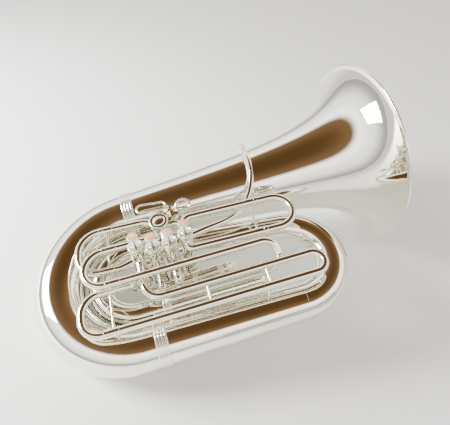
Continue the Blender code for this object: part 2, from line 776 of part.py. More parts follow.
def leg_profile(total, ferrule_at_start, ferrule_at_end):
    """Outer profile of a fixed tube with a collar at each end that takes a slide."""
    outer = [(0.0, TUBE_R), (total, TUBE_R)]
    if ferrule_at_start:
        outer = [(0.0, FERRULE_R), (SLEEVE_COLLAR_LENGTH, FERRULE_R),
                 (SLEEVE_COLLAR_LENGTH, TUBE_R)] + outer[1:]
    if ferrule_at_end:
        reach = total - SLEEVE_COLLAR_LENGTH
        outer = outer[:-1] + [(reach, TUBE_R), (reach, FERRULE_R), (total, FERRULE_R)]
    return outer


def sleeve_tube(corners, radii, at_start=True, at_end=False, up=Vector((0, 0, 1))):
    """A fixed valve tube, bored out to take a slide at one end or at both."""
    path = rounded(corners, radii)
    total = lengths_along(path)[-1]
    inner = [(0.0, SLEEVE_BORE_R), (total, SLEEVE_BORE_R)]
    return tube_solid(path, leg_profile(total, at_start, at_end), inner, SIDES_TUBE, up)


def slide_bow(corners, radii, leg, up=Vector((0, 0, 1))):
    """A slide: a leg, a ferrule, the bend, a ferrule and a leg."""
    path = rounded(corners, radii)
    total = lengths_along(path)[-1]
    half = [(0.0, LEG_R), (leg, LEG_R), (leg, FERRULE_R), (leg + FERRULE_LENGTH, FERRULE_R),
            (leg + FERRULE_LENGTH, TUBE_R)]
    outer = half + [(total - s, r) for s, r in reversed(half)]
    inner = [(0.0, LEG_R - TUBE_WALL), (total, LEG_R - TUBE_WALL)]
    return tube_solid(path, outer, inner, SIDES_TUBE, up)


def turned_about(points, pivot, degrees):
    """Points turned in the body's plane about a pivot."""
    turn = Matrix.Rotation(math.radians(degrees), 3, "Z")
    return [pivot + turn @ (point - pivot) for point in points]


def build_first_slide(cutters):
    """Valve one's loop, towards the top bow. Its bow draws out along +X."""
    z, mouth, leg = FIRST_LOOP_Z, 0.315, 0.090
    high, low = 0.0595, -0.0270
    half = (high - low) / 2
    pivot = Vector((0.27, 0.016, z))
    upper = turned_about([Vector((mouth, high, z)), Vector((0.1415, high, z))], pivot, -2)
    upper.append(into_casing(0, z, upper[-1]))
    lower = turned_about([Vector((mouth, low, z)), Vector((0.1430, low, z))], pivot, -2)
    lower.append(into_casing(0, z, lower[-1]))
    tubes = add_solid("first_valve_tubes", sleeve_tube(upper, (0.020,)), SILVER)
    ends = turned_about([Vector((0.303, high, z)), Vector((0.303, low, z))], pivot, -2)
    join_with(tubes, "first_loop", stay(*ends), sleeve_tube(lower, (0.012,)))
    cut(tubes, cutters[0])
    bow_x = mouth + 0.037
    corners = [Vector((x, y, z)) for x, y in (
        (mouth - leg, high), (bow_x + half, high), (bow_x + half, low), (mouth - leg, low))]
    corners = turned_about(corners, pivot, -2)
    shift = (corners[1] - corners[0]).normalized() * GAP
    solid = slide_bow([corner + shift for corner in corners], (half, half), leg)
    origin = turned_about([Vector((mouth, high, z))], pivot, -2)[0]
    return add_solid("first_valve_slide", solid, SILVER, origin)


def build_second_slide(cutters):
    """Valve two's short loop, with one leg above the other. Its bow draws out along -Y."""
    high, low = SECOND_LOOP_Z
    x, mouth_y, leg = casing_point(1, high).x, -0.0525, 0.0155
    half = (high - low) / 2
    solids = []
    for z in (high, low):
        stop = Vector((x, casing_point(1, z).y - TUBE_STOP, z))
        solids.append(sleeve_tube([Vector((x, mouth_y, z)), stop], (), up=Vector((1, 0, 0))))
    tubes = add_solid("second_valve_tubes", solids[0], SILVER)
    web = stay(Vector((x, mouth_y + 0.005, high)), Vector((x, mouth_y + 0.005, low)))
    join_with(tubes, "second_loop", web, solids[1])
    cut(tubes, cutters[1])
    bow_y = mouth_y - 0.0095 - half
    corners = [Vector((x, y, z)) for y, z in (
        (mouth_y + leg, high), (bow_y, high), (bow_y, low), (mouth_y + leg, low))]
    solid = slide_bow([corner - Vector((0, GAP, 0)) for corner in corners], (half, half), leg,
                      Vector((1, 0, 0)))
    return add_solid("second_valve_slide", solid, SILVER, Vector((x, mouth_y, high)))


def build_third_slide(cutters):
    """Valve three's loop: past valve four to the slide, then the long leg and the upright return bend."""
    z, mouth, leg = THIRD_LOOP_Z, -0.0370, 0.055
    high, low = 0.0305, -0.0545
    half = (high - low) / 2
    upper = [Vector((mouth, high, z)), Vector((0.067, high, z))]
    upper.append(into_casing(2, z, upper[-1]))
    back = Vector((0.0, -0.104, 0.046))
    bend = (Vector((0, low, z)) - back).length / 2
    far_x = 0.296 + bend
    lower = [Vector((mouth, low, z)), Vector((far_x, low, z)), Vector((far_x, back.y, back.z)),
             Vector((casing_point(2, back.z).x, back.y, back.z))]
    lower.append(into_casing(2, back.z, lower[-1]))
    cut(add_solid("third_valve_short_tube", sleeve_tube(upper, (0.013,)), SILVER), cutters[2])
    cut(add_solid("third_valve_long_tube", sleeve_tube(lower, (bend, bend, 0.016)), SILVER), cutters[2])
    bow_x = -0.0905
    corners = [Vector((x, y, z)) for x, y in (
        (mouth + leg, high), (bow_x, high), (bow_x, low), (mouth + leg, low))]
    solid = slide_bow([corner - Vector((GAP, 0, 0)) for corner in corners], (half, half), leg)
    return add_solid("third_valve_slide", solid, SILVER, Vector((mouth, high, z)))


def build_fourth_slide(cutters):
    """Valve four's long loop, with its slide at the bottom bow."""
    z, mouth, leg = FOURTH_LOOP_Z, -0.0555, 0.043
    start_y, low, inner = -0.1040, -0.1520, -0.0600
    right = 0.392
    half_right = (start_y - low) / 2
    start_x = casing_point(3, z).x
    run = [Vector((mouth, low, z)), Vector((right + half_right, low, z)),
           Vector((right + half_right, start_y, z)), Vector((start_x, start_y, z))]
    run.append(into_casing(3, z, run[-1]))
    back = [Vector((mouth, inner, z)), Vector((0.004, inner, z)), Vector((0.004, inner, 0.044))]
    back.append(into_casing(3, 0.044, back[-1]))
    tubes = add_solid("fourth_valve_tubes", sleeve_tube(run, (half_right, half_right, 0.036)), SILVER)
    stays = [stay(Vector((-0.045, inner, z)), Vector((-0.045, low, z)))]
    for x in (0.158, 0.289):
        stays.append(stay(Vector((x, start_y, z)), Vector((x, low, z)), TUBE_R))
    stays.append(stay(Vector((0.280, low, z)), Vector((0.280, -0.1770, 0.0)), TUBE_R - 0.0005, 0.0435))
    join_with(tubes, "fourth_loop", *stays, sleeve_tube(back, (0.014, 0.014)))
    cut(tubes, cutters[3])
    bow_x = -0.1080
    corners = [Vector((x, y, z)) for x, y in (
        (mouth + leg, inner), (bow_x, inner), (bow_x, low), (mouth + leg, low))]
    solid = slide_bow([corner - Vector((GAP, 0, 0)) for corner in corners], (0.040, 0.040), leg)
    return add_solid("fourth_valve_slide", solid, SILVER, Vector((mouth, inner, z)))


def build_fifth_slide(cutters, rotor_cutter):
    """The rotary valve's loop, whose bow passes under the third loop."""
    z, mouth, leg = FIFTH_LOOP_Z, -0.0470, 0.028
    high, low = 0.1030, -0.0080
    pivot = Vector((-0.063, 0.047, z))
    upper = turned_about([Vector((mouth, high, z)), Vector((0.050, high, z))], pivot, -3)
    upper.append(into_rotor(z, upper[-1]))
    lower = turned_about([Vector((mouth, low, z)), Vector((-0.012, low, z))], pivot, -3)
    lower.append(into_casing(3, z, lower[-1]))
    tubes = add_solid("fifth_valve_tubes", sleeve_tube(upper, (0.030,)), SILVER)
    ends = turned_about([Vector((-0.038, high, z)), Vector((-0.038, low, z))], pivot, -3)
    join_with(tubes, "fifth_loop", stay(*ends), sleeve_tube(lower, (0.025,)))
    cut(tubes, cutters[3], rotor_cutter)
    bow_x = -0.1065
    corners = [Vector((x, y, z)) for x, y in (
        (mouth + leg, high), (bow_x, high), (bow_x, low), (mouth + leg, low))]
    corners = turned_about(corners, pivot, -3)
    shift = (corners[1] - corners[0]).normalized() * GAP
    solid = slide_bow([corner + shift for corner in corners], (0.048, 0.048), leg)
    origin = turned_about([Vector((mouth, high, z))], pivot, -3)[0]
    return add_solid("fifth_valve_slide", solid, SILVER, origin)


# ---------------------------------------------------------------- rotary valve

def into_rotor(z, before):
    """Where a tube that comes from a point stops, just inside the rotary valve's casing."""
    centre = Vector((ROTOR_AXIS.x, ROTOR_AXIS.y, z))
    return centre + (before - centre).normalized() * (ROTOR_CASING_R - 0.0050)


def add_turned_at_rotor(name, outline, material, sides=16):
    verts, faces = turned_solid(outline, sides)
    return add_object(name, make_mesh(name, verts, faces), material, ROTOR_AXIS.copy())


def build_rotor_clearance():
    low, high = ROTOR_Z
    clearance = turned_solid([(ROTOR_CASING_R + GAP, low - 0.001), (ROTOR_CASING_R + GAP, high - 0.0065),
                              (ROTOR_CAP_R + GAP, high - 0.0065), (ROTOR_CAP_R + GAP, high + 0.007),
                              (0.0, high + 0.007), (0.0, low - 0.001)], 16)
    return make_cutter("rotor_clearance", clearance, ROTOR_AXIS.copy())


def build_rotor_casing(cutters):
    """The rotary valve's casing with its back bearing and its two knuckles, and the screw cap."""
    low, high = ROTOR_Z
    hole = SPINDLE_R + GAP
    block = [(ROTOR_CASING_R, low - 0.0040), (ROTOR_CASING_R, high), (0.0, high), (0.0, low - 0.0040)]
    casing = add_turned_at_rotor("rotor_casing", block, SILVER)
    z = 0.066
    to_two = [into_rotor(z, casing_point(1, z)), into_casing(1, z, into_rotor(z, casing_point(1, z)))]
    corner = Vector((0.1395, ROTOR_AXIS.y, z))
    to_one = rounded([into_rotor(z, corner), corner, into_casing(0, z, corner)], (0.022,))
    join_with(casing, "rotor_knuckles", plain_tube(to_two, TUBE_R), plain_tube(to_one, TUBE_R))
    bore = turned_solid([(hole, low - 0.006), (hole, low), (ROTOR_BORE_R, low), (ROTOR_BORE_R, high + 0.004),
                         (0.0, high + 0.004), (0.0, low - 0.006)], 16)
    cut(casing, make_cutter("rotor_bore", bore, ROTOR_AXIS.copy()), cutters[0], cutters[1])
    skirt = ROTOR_CASING_R + 2 * GAP
    cap = [(ROTOR_CAP_R, high - 0.006), (ROTOR_CAP_R, high + 0.0030), (ROTOR_CAP_R - 0.0030, high + 0.0055),
           (0.0130, high + 0.0055), (0.0115, high + 0.0035), (0.0, high + 0.0035),
           (0.0, high + GAP), (skirt, high + GAP), (skirt, high - 0.006)]
    add_turned_at_rotor("rotor_cap", cap, SILVER)


def build_rotor():
    """The plug with its two crescent passages, and the stop arm on its spindle."""
    low, high = ROTOR_Z
    plug = ROTOR_BORE_R - 0.0004
    body = [(SPINDLE_R, ROTOR_ARM_Z + 0.0018), (SPINDLE_R, low + 0.002), (plug, low + 0.002),
            (plug, high - 0.002), (0.0, high - 0.002), (0.0, ROTOR_ARM_Z + 0.0018)]
    rotor = add_turned_at_rotor("rotor", body, MONEL)
    for number, side in enumerate((-1, 1)):
        t = math.radians(45)
        aside = Vector((math.cos(t), math.sin(t), 0.0)) * side
        centre = ROTOR_AXIS + aside * (ROTOR_BORE_R * 1.15) + Vector((0, 0, (low + high) / 2))
        across = Vector((-aside.y, aside.x, 0.0))
        path = [centre - across * 0.03, centre + across * 0.03]
        cut(rotor, make_cutter(f"rotor_passage_{number}", rod_solid(path, PORT_R, 8)))
    pin = arm_pin()
    outline = circle((pin.x, pin.y), 0.0042, 7, math.radians(135), math.radians(180))
    outline += circle((ROTOR_AXIS.x, ROTOR_AXIS.y), 0.0072, 9, math.radians(-45), math.radians(180))
    arm = plate_solid(outline, ROTOR_ARM_Z - 0.0015, ROTOR_ARM_Z + 0.0015)
    add_solid("rotor_stop_arm", arm, SILVER, ROTOR_AXIS.copy())


def arm_pin():
    """Centre of the stop arm's pin at rest."""
    t = math.radians(225)
    return ROTOR_AXIS + Vector((math.cos(t), math.sin(t), 0.0)) * ROTOR_ARM_RADIUS


def lever_pin():
    """Centre of the lever's pin at rest."""
    t = math.pi + LEVER_SWING / 2
    return LEVER_HINGE + Vector((math.cos(t), math.sin(t), 0.0)) * LEVER_ARM


def upright_rod(x, y, low, high, radius, sides=8):
    ends = [Vector((x, y, low)), Vector((x, y, high))]
    return rod_solid(ends, radius, sides, up=Vector((1, 0, 0)))


def build_thumb_lever():
    """The open paddle, the pivot shaft under it and the lower arm that carries the link."""
    pin, hub = lever_pin(), LEVER_HINGE
    low, high = ROTOR_ARM_Z - 0.0018, ROTOR_ARM_Z + 0.0018
    along = (pin - hub).normalized()
    start = math.atan2(along.x, -along.y)
    outline = circle((hub.x, hub.y), 0.0052, 7, start, math.pi)
    outline += circle((pin.x, pin.y), 0.0036, 5, start + math.pi, math.pi)
    lever = add_solid("thumb_lever", plate_solid(outline, low, high), SILVER, hub)
    shaft = upright_rod(hub.x, hub.y, ROTOR_ARM_Z, LEVER_Z + 0.0030, SHAFT_R)
    boolean(lever, make_cutter("lever_shaft", shaft), "UNION")
    stub = upright_rod(pin.x, pin.y, LINK_Z - 0.0026, ROTOR_ARM_Z, 0.0015, 6)
    boolean(lever, make_cutter("lever_link_pin", stub), "UNION")
    centre, half_long, half_wide = Vector((0.0790, 0.1150, LEVER_Z)), 0.0350, 0.0115
    reach, tilt = half_long - half_wide, Matrix.Rotation(math.radians(-7), 3, "Z")
    paddle = []
    for end, start_angle in ((1, -90), (-1, 90)):
        for k in range(6):
            t = math.radians(start_angle + 36 * k)
            local = Vector((end * reach + half_wide * math.cos(t), half_wide * math.sin(t), 0.0))
            paddle.append(centre + tilt @ local)
    ring = rod_solid(paddle, 0.0026, 6, closed=True)
    boolean(lever, make_cutter("lever_paddle", ring), "UNION")
    bar_z = LEVER_Z + 0.0003
    bar = [Vector((hub.x + 0.001, hub.y - 0.0005, bar_z)), Vector((0.1100, 0.1105, bar_z))]
    boolean(lever, make_cutter("lever_bar", rod_solid(bar, 0.0028, 6)), "UNION")


def build_link():
    """The link between the lever and the stop arm. Its far eye hangs under the stop arm's end."""
    top, bottom = lever_pin(), arm_pin()
    low, high = LINK_Z - 0.0010, LINK_Z + 0.0012
    outline = circle((top.x, top.y), 0.0034, 6, 0.0, math.pi)
    outline += circle((bottom.x, bottom.y), 0.0034, 6, math.pi, math.pi)
    link = add_solid("rotor_link", plate_solid(outline, low, high), SILVER, Vector((top.x, top.y, 0.0)))
    hole = upright_rod(top.x, top.y, low - 0.01, high + 0.01, 0.0019, 6)
    cut(link, make_cutter("link_hole", hole))


def build_lever_bracket(rotor_cutter):
    """The plate on the rotary valve's casing that holds the lever's pivot tube and the thumb ring."""
    hub = LEVER_HINGE
    low, high = 0.0770, 0.0800
    outline = [(0.1060, 0.0730), (0.1130, 0.0750), (0.1290, 0.0900), (0.1580, 0.0880), (0.1580, 0.0960),
               (0.1300, 0.1010), (0.1197, 0.1110), (0.1120, 0.1065), (0.0960, 0.0950)]
    bracket = add_solid("lever_bracket", plate_solid(outline, low, high), SILVER)
    tube = upright_rod(hub.x, hub.y, ROTOR_ARM_Z + 0.0024, LEVER_Z - 0.0032, 0.0048)
    boolean(bracket, make_cutter("pivot_tube", tube), "UNION")
    bore = upright_rod(hub.x, hub.y, ROTOR_ARM_Z - 0.01, LEVER_Z + 0.01, SHAFT_R + 0.0004)
    cut(bracket, make_cutter("pivot_bore", bore), rotor_cutter)


def build_thumb_ring():
    """The thumb ring on a short stalk that stands on the bracket."""
    centre = Vector((0.1535, 0.0965, 0.0985))
    tilt = Matrix.Rotation(math.radians(24), 3, Vector((1, 0, 0)))
    turns = [2 * math.pi * k / 14 for k in range(14)]
    ring = [centre + tilt @ Vector((0.0165 * math.cos(t), 0.0150 * math.sin(t), 0.0)) for t in turns]
    obj = add_solid("thumb_ring", rod_solid(ring, 0.0030, 6, closed=True), SILVER)
    near = centre + tilt @ Vector((0.0, -0.0150, 0.0))
    foot = Vector((near.x, 0.0915, 0.0800 + GAP))
    stalk = rod_solid([foot, foot + Vector((0, 0, 0.004)), near], 0.0028, 6, up=Vector((1, 0, 0)))
    boolean(obj, make_cutter("ring_stalk", stalk), "UNION")


# ---------------------------------------------------------------- leadpipe and stays

def leadpipe_path():
    """Valve one, under the first loop, then round the front of the bell stack to the receiver."""
    corners = [cm(19.3, 1.8, 9.35), cm(24.0, 2.9, 8.3), cm(28.3, 5.3, 7.25),
               cm(31.2, 8.7, 6.9), cm(33.2, 11.9, 7.8), cm(34.3, 15.0, 9.4), cm(34.7, 18.6, 9.9),
               cm(34.6, 21.5, 9.5)]
    corners.insert(0, into_casing(0, 0.0975, corners[0]))
    return rounded(corners, (0.05, 0.08, 0.06, 0.05, 0.05, 0.04, 0.05), math.radians(24))


def build_leadpipe(cutters):
    path = leadpipe_path()
    pipe = add_solid("leadpipe", plain_tube(path, (0.0085, 0.0066), 0.0009), SILVER)
    cut(pipe, cutters[0])
    direction = (path[-1] - path[-2]).normalized()
    start = path[-1] + direction * GAP
    end = start + direction * 0.034
    outer = [(0.0, 0.0082), (0.006, 0.0082), (0.006, 0.0072)]
    outer += [(0.026, 0.0086), (0.026, 0.0094), (0.034, 0.0094)]
    inner = [(0.0, 0.0056), (0.034, 0.0072)]
    add_solid("mouthpiece_receiver", tube_solid([start, end], outer, inner), SILVER)


def build_leadpipe_brace():
    """The oval brace that stands on the bell beside the leadpipe, with a foot towards each."""
    centre = Vector((0.3620, 0.1040, 0.0605))
    across = Vector((0.0, 0.80, -0.60))
    ring = []
    for end, start_angle in ((1, -90), (-1, 90)):
        for k in range(5):
            t = math.radians(start_angle + 45 * k)
            local = Vector((end * 0.014 + 0.012 * math.cos(t), 0.0, 0.0)) + across * 0.012 * math.sin(t)
            ring.append(centre + local)
    brace = add_solid("leadpipe_brace", rod_solid(ring, 0.0032, 6, closed=True), SILVER)
    axis_y = BOTTOM_BOW_BEND + bell_axis().y * centre.x / bell_axis().x
    axis_point = Vector((centre.x, axis_y, bell_axis().z * centre.x / bell_axis().x))
    inward = (axis_point - centre).normalized()
    surface = (axis_point - centre).length - bell_radius(bell_length() - centre.x) - 5 * GAP
    foot = rod_solid([centre + inward * 0.0115, centre + inward * surface], 0.0036, 6, up=Vector((1, 0, 0)))
    boolean(brace, make_cutter("brace_foot", foot), "UNION")


def main():
    rotor_cutter = build_rotor_clearance()
    build_bell()
    build_bottom_bow()
    build_outer_branch()
    build_top_bow()
    build_second_branch()
    build_inner_bow()
    build_third_branch()
    build_main_slide()
    build_guards()
    cutters = build_valves()
    build_return_branch(cutters)
    build_first_slide(cutters)
    build_second_slide(cutters)
    build_third_slide(cutters)
    build_fourth_slide(cutters)
    build_fifth_slide(cutters, rotor_cutter)
    build_rotor_casing(cutters)
    build_rotor()
    build_thumb_lever()
    build_link()
    build_lever_bracket(rotor_cutter)
    build_thumb_ring()
    build_leadpipe(cutters)
    build_leadpipe_brace()
    build_body_ferrules()


main()
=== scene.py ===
"""Looks of the concert tuba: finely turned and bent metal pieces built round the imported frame.

The body frame has its origin at the centre of the bottom bow. X runs along the body towards the
bell's mouth, Y across it towards the bell stack, and Z out of the instrument's front. BODY_TO_ROW
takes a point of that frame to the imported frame, where the tuba lies on its back.
"""

import json
import math

import bpy
from mathutils import Matrix, Vector

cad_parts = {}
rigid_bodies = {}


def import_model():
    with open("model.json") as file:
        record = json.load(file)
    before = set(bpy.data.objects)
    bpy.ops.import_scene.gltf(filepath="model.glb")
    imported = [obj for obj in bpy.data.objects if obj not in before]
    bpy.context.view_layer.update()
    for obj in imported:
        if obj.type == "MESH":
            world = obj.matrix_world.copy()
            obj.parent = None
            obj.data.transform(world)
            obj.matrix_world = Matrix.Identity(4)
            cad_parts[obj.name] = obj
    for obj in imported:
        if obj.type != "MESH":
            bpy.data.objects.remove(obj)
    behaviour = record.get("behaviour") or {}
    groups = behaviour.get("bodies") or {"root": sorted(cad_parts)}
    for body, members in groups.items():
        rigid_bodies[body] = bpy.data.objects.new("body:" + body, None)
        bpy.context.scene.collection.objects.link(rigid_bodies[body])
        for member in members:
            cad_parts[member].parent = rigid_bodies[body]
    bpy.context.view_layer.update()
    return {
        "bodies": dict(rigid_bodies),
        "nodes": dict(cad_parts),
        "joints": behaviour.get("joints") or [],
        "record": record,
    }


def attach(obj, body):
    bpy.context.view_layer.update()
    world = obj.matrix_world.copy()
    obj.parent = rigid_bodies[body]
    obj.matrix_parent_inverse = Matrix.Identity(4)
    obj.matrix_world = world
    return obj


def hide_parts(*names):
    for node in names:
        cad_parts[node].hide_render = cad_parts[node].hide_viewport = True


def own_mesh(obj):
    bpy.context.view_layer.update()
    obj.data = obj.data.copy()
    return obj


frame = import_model()

CM = 0.01
GAP = 0.0003
ALONG_X, ALONG_Y, UP = Vector((1, 0, 0)), Vector((0, 1, 0)), Vector((0, 0, 1))

# Resting pose: the instrument lies on the bell's rim and on the side of the bottom bow.
REST_ROLL = math.radians(7.127)
REST_PITCH = math.radians(-12.065)
REST_SHIFT = Vector((-0.24025, -0.11866, 0.09855))

# Bell: the radius falls off as a power of the distance from the rim.
BELL_RADIUS = 0.2515
BELL_FLARE_LENGTH = 0.0414
BELL_FLARE_POWER = 0.46
BELL_RIM = Vector((0.6768, 0.2126, -0.0184))
BELL_WALL = 0.0008
RIM_BEAD = 0.0032

# Bows and branches of the conical body tube, from the bell back to the tuning slide.
BOTTOM_BOW_BEND = 0.1763
BOTTOM_BOW_R = (0.0683, 0.0494)
OUTER_BRANCH_END = Vector((0.3578, -0.1779, 0.0))
OUTER_BRANCH_R = 0.0398
TOP_BOW_BEND = 0.102
TOP_BOW_R = 0.0320
INNER_BOW_BEND = 0.084
INNER_BOW_CENTRE = Vector((0.0, -0.012, 0.0))
SECOND_BRANCH_R = 0.0285
THIRD_BRANCH_Y = -0.096
INNER_BOW_R = 0.0250
BODY_WALL = 0.0008
GUARD_WALL = 0.0012
BELL_JOINT = 0.013
TOP_JOINT = 0.006
OUTER_JOINT_X = 0.039
THIRD_JOINT_X = 0.062

# Main tuning slide, with both legs in one upright plane under the third branch.
THIRD_BRANCH_R = 0.0205
MAIN_SLIDE_LEG_R = 0.0182
MAIN_SLIDE_BORE_R = 0.0187
MAIN_SLIDE_TOP_Z = 0.0
MAIN_SLIDE_DROP = 0.052
MAIN_SLIDE_MOUTH_X = 0.235

# Cylindrical valve tubing.
TUBE_R = 0.0088
TUBE_WALL = 0.0008
SLEEVE_BORE_R = 0.0082
LEG_R = 0.0078
FERRULE_R = 0.0097
FERRULE_LENGTH = 0.009
SLEEVE_COLLAR_LENGTH = 0.022
STAY_SINK = 0.0004

# Pistons. Heights are along the casing's axis, from the casing's lower edge.
VALVE_LEAN = Vector((0.05, 0.17, 1.0)).normalized()
VALVE_TOP_Z = 0.113
VALVE_TOPS = ((0.1413, 0.0068), (0.1041, -0.0056), (0.0670, -0.0056), (0.0298, 0.0066))
CASING_LENGTH = 0.120
CASING_R = 0.0158
CASING_BORE_R = 0.0141
TUBE_STOP = 0.0105
CAP_R = 0.0176
CAP_SKIRT = 0.006
CAP_TOP = 0.0052
PISTON_R = 0.01365
PISTON_WALL = 0.0016
PISTON_FOOT = 0.040
PISTON_HEAD = 0.104
STEM_R = 0.0030
STEM_HOLE_R = 0.0036
STEM_END = 0.1465
KNUCKLE_Z = (0.066, 0.034, 0.056)
BUTTON_R = 0.0122
BUTTON_HEIGHT = 0.0065
SPRING_R = 0.0108
SPRING_WIRE_R = 0.0007
SPRING_TURNS = 4

# Rotary valve and its thumb lever: a planar linkage in the body frame's XY plane.
ROTOR_AXIS = Vector((0.0887, 0.0770, 0.0))
ROTOR_CASING_R = 0.0200
ROTOR_BORE_R = 0.0180
ROTOR_CAP_R = 0.0230
ROTOR_Z = (0.052, 0.088)
ROTOR_ARM_Z = 0.0430
SPINDLE_R = 0.0032
LEVER_HINGE = Vector((0.1197, 0.1045, 0.0))
LEVER_ARM = 0.0420
LEVER_SWING = math.radians(27.0)
LEVER_Z = 0.0985
SHAFT_R = 0.0024
LINK_Z = 0.0370

# Heights of the slide loops above the body's middle plane.
FIRST_LOOP_Z = 0.092
THIRD_LOOP_Z = 0.094
FOURTH_LOOP_Z = 0.0748
FIFTH_LOOP_Z = 0.073
SECOND_LOOP_Z = (0.0615, 0.0395)

# Facets round a section, and the turn of one step along a bend.
SIDES_BELL = 192
SIDES_BODY = 80
SIDES_BRANCH = 64
SIDES_TUBE = 40
SIDES_SMALL = 24
SIDES_VALVE = 64
BEND_STEP = math.radians(5)

# Studio: the strength of the light all round, and its colour from the horizon (0) to overhead (1).
WORLD_STRENGTH = 3.8
STUDIO_BY_HEIGHT = [(0.0, (0.15, 0.15, 0.15)), (0.36, (0.58, 0.58, 0.565)), (0.60, (0.80, 0.79, 0.765)),
                    (0.75, (0.070, 0.040, 0.018)), (1.0, (0.032, 0.016, 0.006))]

# The softbox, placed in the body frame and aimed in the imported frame, and half the floor's side.
KEY_PLACE = Vector((-1.55, 0.85, 1.25))
KEY_TARGET = (0.0, 0.0, 0.1)
KEY_SIZE = (0.9, 0.9)
KEY_POWER = 190.0
FLOOR_HALF = 30.0

# Camera, in the body frame: lens length as a share of the sensor's width, and the axes of its view.
FOCAL_SHARE = 0.84021
CAMERA_SHIFT = 0.00778
CAMERA_PLACE = Vector((0.1476132, -0.4716117, 0.8054342))
CAMERA_RIGHT = Vector((0.95892, -0.27488, -0.07011))
CAMERA_DOWN = Vector((-0.26290, -0.76829, -0.58362))
CAMERA_AHEAD = Vector((0.10656, 0.57807, -0.80900))

BODY_TO_ROW = Matrix.LocRotScale(REST_SHIFT, Matrix.Rotation(REST_PITCH, 3, "Y").to_quaternion()
                                 @ Matrix.Rotation(REST_ROLL, 3, "X").to_quaternion(), None)
NODE_BODY = {node: body for body, nodes in frame["record"]["behaviour"]["bodies"].items() for node in nodes}


# ---------------------------------------------------------------- materials

class Shader:
    """A material's node tree, with short names for the nodes it is built from."""

    def __init__(self, name, colour, roughness, metallic):
        self.material = bpy.data.materials.new(name)
        self.material.use_nodes = True
        self.nodes = self.material.node_tree.nodes
        self.links = self.material.node_tree.links
        self.out = self.nodes["Principled BSDF"]
        self.out.inputs["Base Color"].default_value = (*colour, 1.0)
        self.out.inputs["Roughness"].default_value = roughness
        self.out.inputs["Metallic"].default_value = metallic
        self.place = self.nodes.new("ShaderNodeTexCoord").outputs["Object"]

    def stretched(self, scale, turn):
        node = self.nodes.new("ShaderNodeMapping")
        node.inputs["Scale"].default_value = scale
        node.inputs["Rotation"].default_value = turn
        self.links.new(self.place, node.inputs["Vector"])
        return node.outputs["Vector"]

    def noise(self, scale, detail, rough, vector=None):
        node = self.nodes.new("ShaderNodeTexNoise")
        node.inputs["Scale"].default_value = scale
        node.inputs["Detail"].default_value = detail
        node.inputs["Roughness"].default_value = rough
        self.links.new(vector or self.place, node.inputs["Vector"])
        return node.outputs["Fac"]

    def ramp(self, value, stops):
        node = self.nodes.new("ShaderNodeValToRGB")
        ramp = node.color_ramp
        while len(ramp.elements) < len(stops):
            ramp.elements.new(0.5)
        for element, (place, colour) in zip(ramp.elements, stops):
            element.position = place
            element.color = (*colour, 1.0) if isinstance(colour, tuple) else (colour, colour, colour, 1.0)
        self.links.new(value, node.inputs["Fac"])
        return node.outputs["Color"]

    def maths(self, operation, a, b):
        node = self.nodes.new("ShaderNodeMath")
        node.operation = operation
        for socket, value in zip(node.inputs, (a, b)):
            if isinstance(value, (int, float)):
                socket.default_value = value
            else:
                self.links.new(value, socket)
        return node.outputs["Value"]

    def mix(self, factor, a, b):
        node = self.nodes.new("ShaderNodeMix")
        node.data_type = "RGBA"
        self.links.new(factor, node.inputs[0])
        for socket, value in ((node.inputs[6], a), (node.inputs[7], b)):
            if isinstance(value, tuple):
                socket.default_value = (*value, 1.0)
            else:
                self.links.new(value, socket)
        return node.outputs[2]

    def bump(self, heights):
        """heights: (value, strength, distance in metres) from the broadest to the finest."""
        normal = None
        for value, strength, distance in heights:
            node = self.nodes.new("ShaderNodeBump")
            node.inputs["Strength"].default_value = strength
            node.inputs["Distance"].default_value = distance
            self.links.new(value, node.inputs["Height"])
            if normal is not None:
                self.links.new(normal, node.inputs["Normal"])
            normal = node.outputs["Normal"]
        self.links.new(normal, self.out.inputs["Normal"])

    def set(self, socket, value):
        self.links.new(value, self.out.inputs[socket])


def worn_metal(name, bright, dull, roughness, waves=0.35):
    """Polished plate: handling marks, hairline scratches, a trace of tarnish and a faint unevenness."""
    shader = Shader(name, bright, roughness, 1.0)
    patches = shader.noise(9.0, 4.0, 0.6)
    smears = shader.noise(34.0, 5.0, 0.65)
    tone = shader.ramp(patches, [(0.42, bright), (0.78, dull)])
    warm = shader.ramp(smears, [(0.50, bright), (0.85, dull)])
    shader.set("Base Color", shader.mix(shader.ramp(smears, [(0.35, 0.15), (0.75, 0.55)]), tone, warm))
    hair_a = shader.noise(60.0, 2.0, 0.5, shader.stretched((1.0, 22.0, 9.0), (0.3, 0.2, 0.5)))
    hair_b = shader.noise(70.0, 2.0, 0.5, shader.stretched((18.0, 1.0, 7.0), (0.1, 0.6, 0.9)))
    hairs = shader.ramp(shader.maths("MULTIPLY", hair_a, hair_b), [(0.22, 0.0), (0.42, 1.0)])
    handled = shader.ramp(smears, [(0.40, 0.0), (0.72, 1.0)])
    rough = shader.maths("ADD", roughness, shader.maths("MULTIPLY", handled, roughness * 0.9))
    rough = shader.maths("ADD", rough, shader.maths("MULTIPLY", hairs, 0.02))
    shader.set("Roughness", rough)
    swell = shader.noise(16.0, 2.0, 0.5)
    shader.bump([(swell, waves, 0.0016), (shader.noise(120.0, 2.0, 0.5), 0.03, 0.0005),
                 (hairs, 0.10, 0.00003)])
    return shader.material


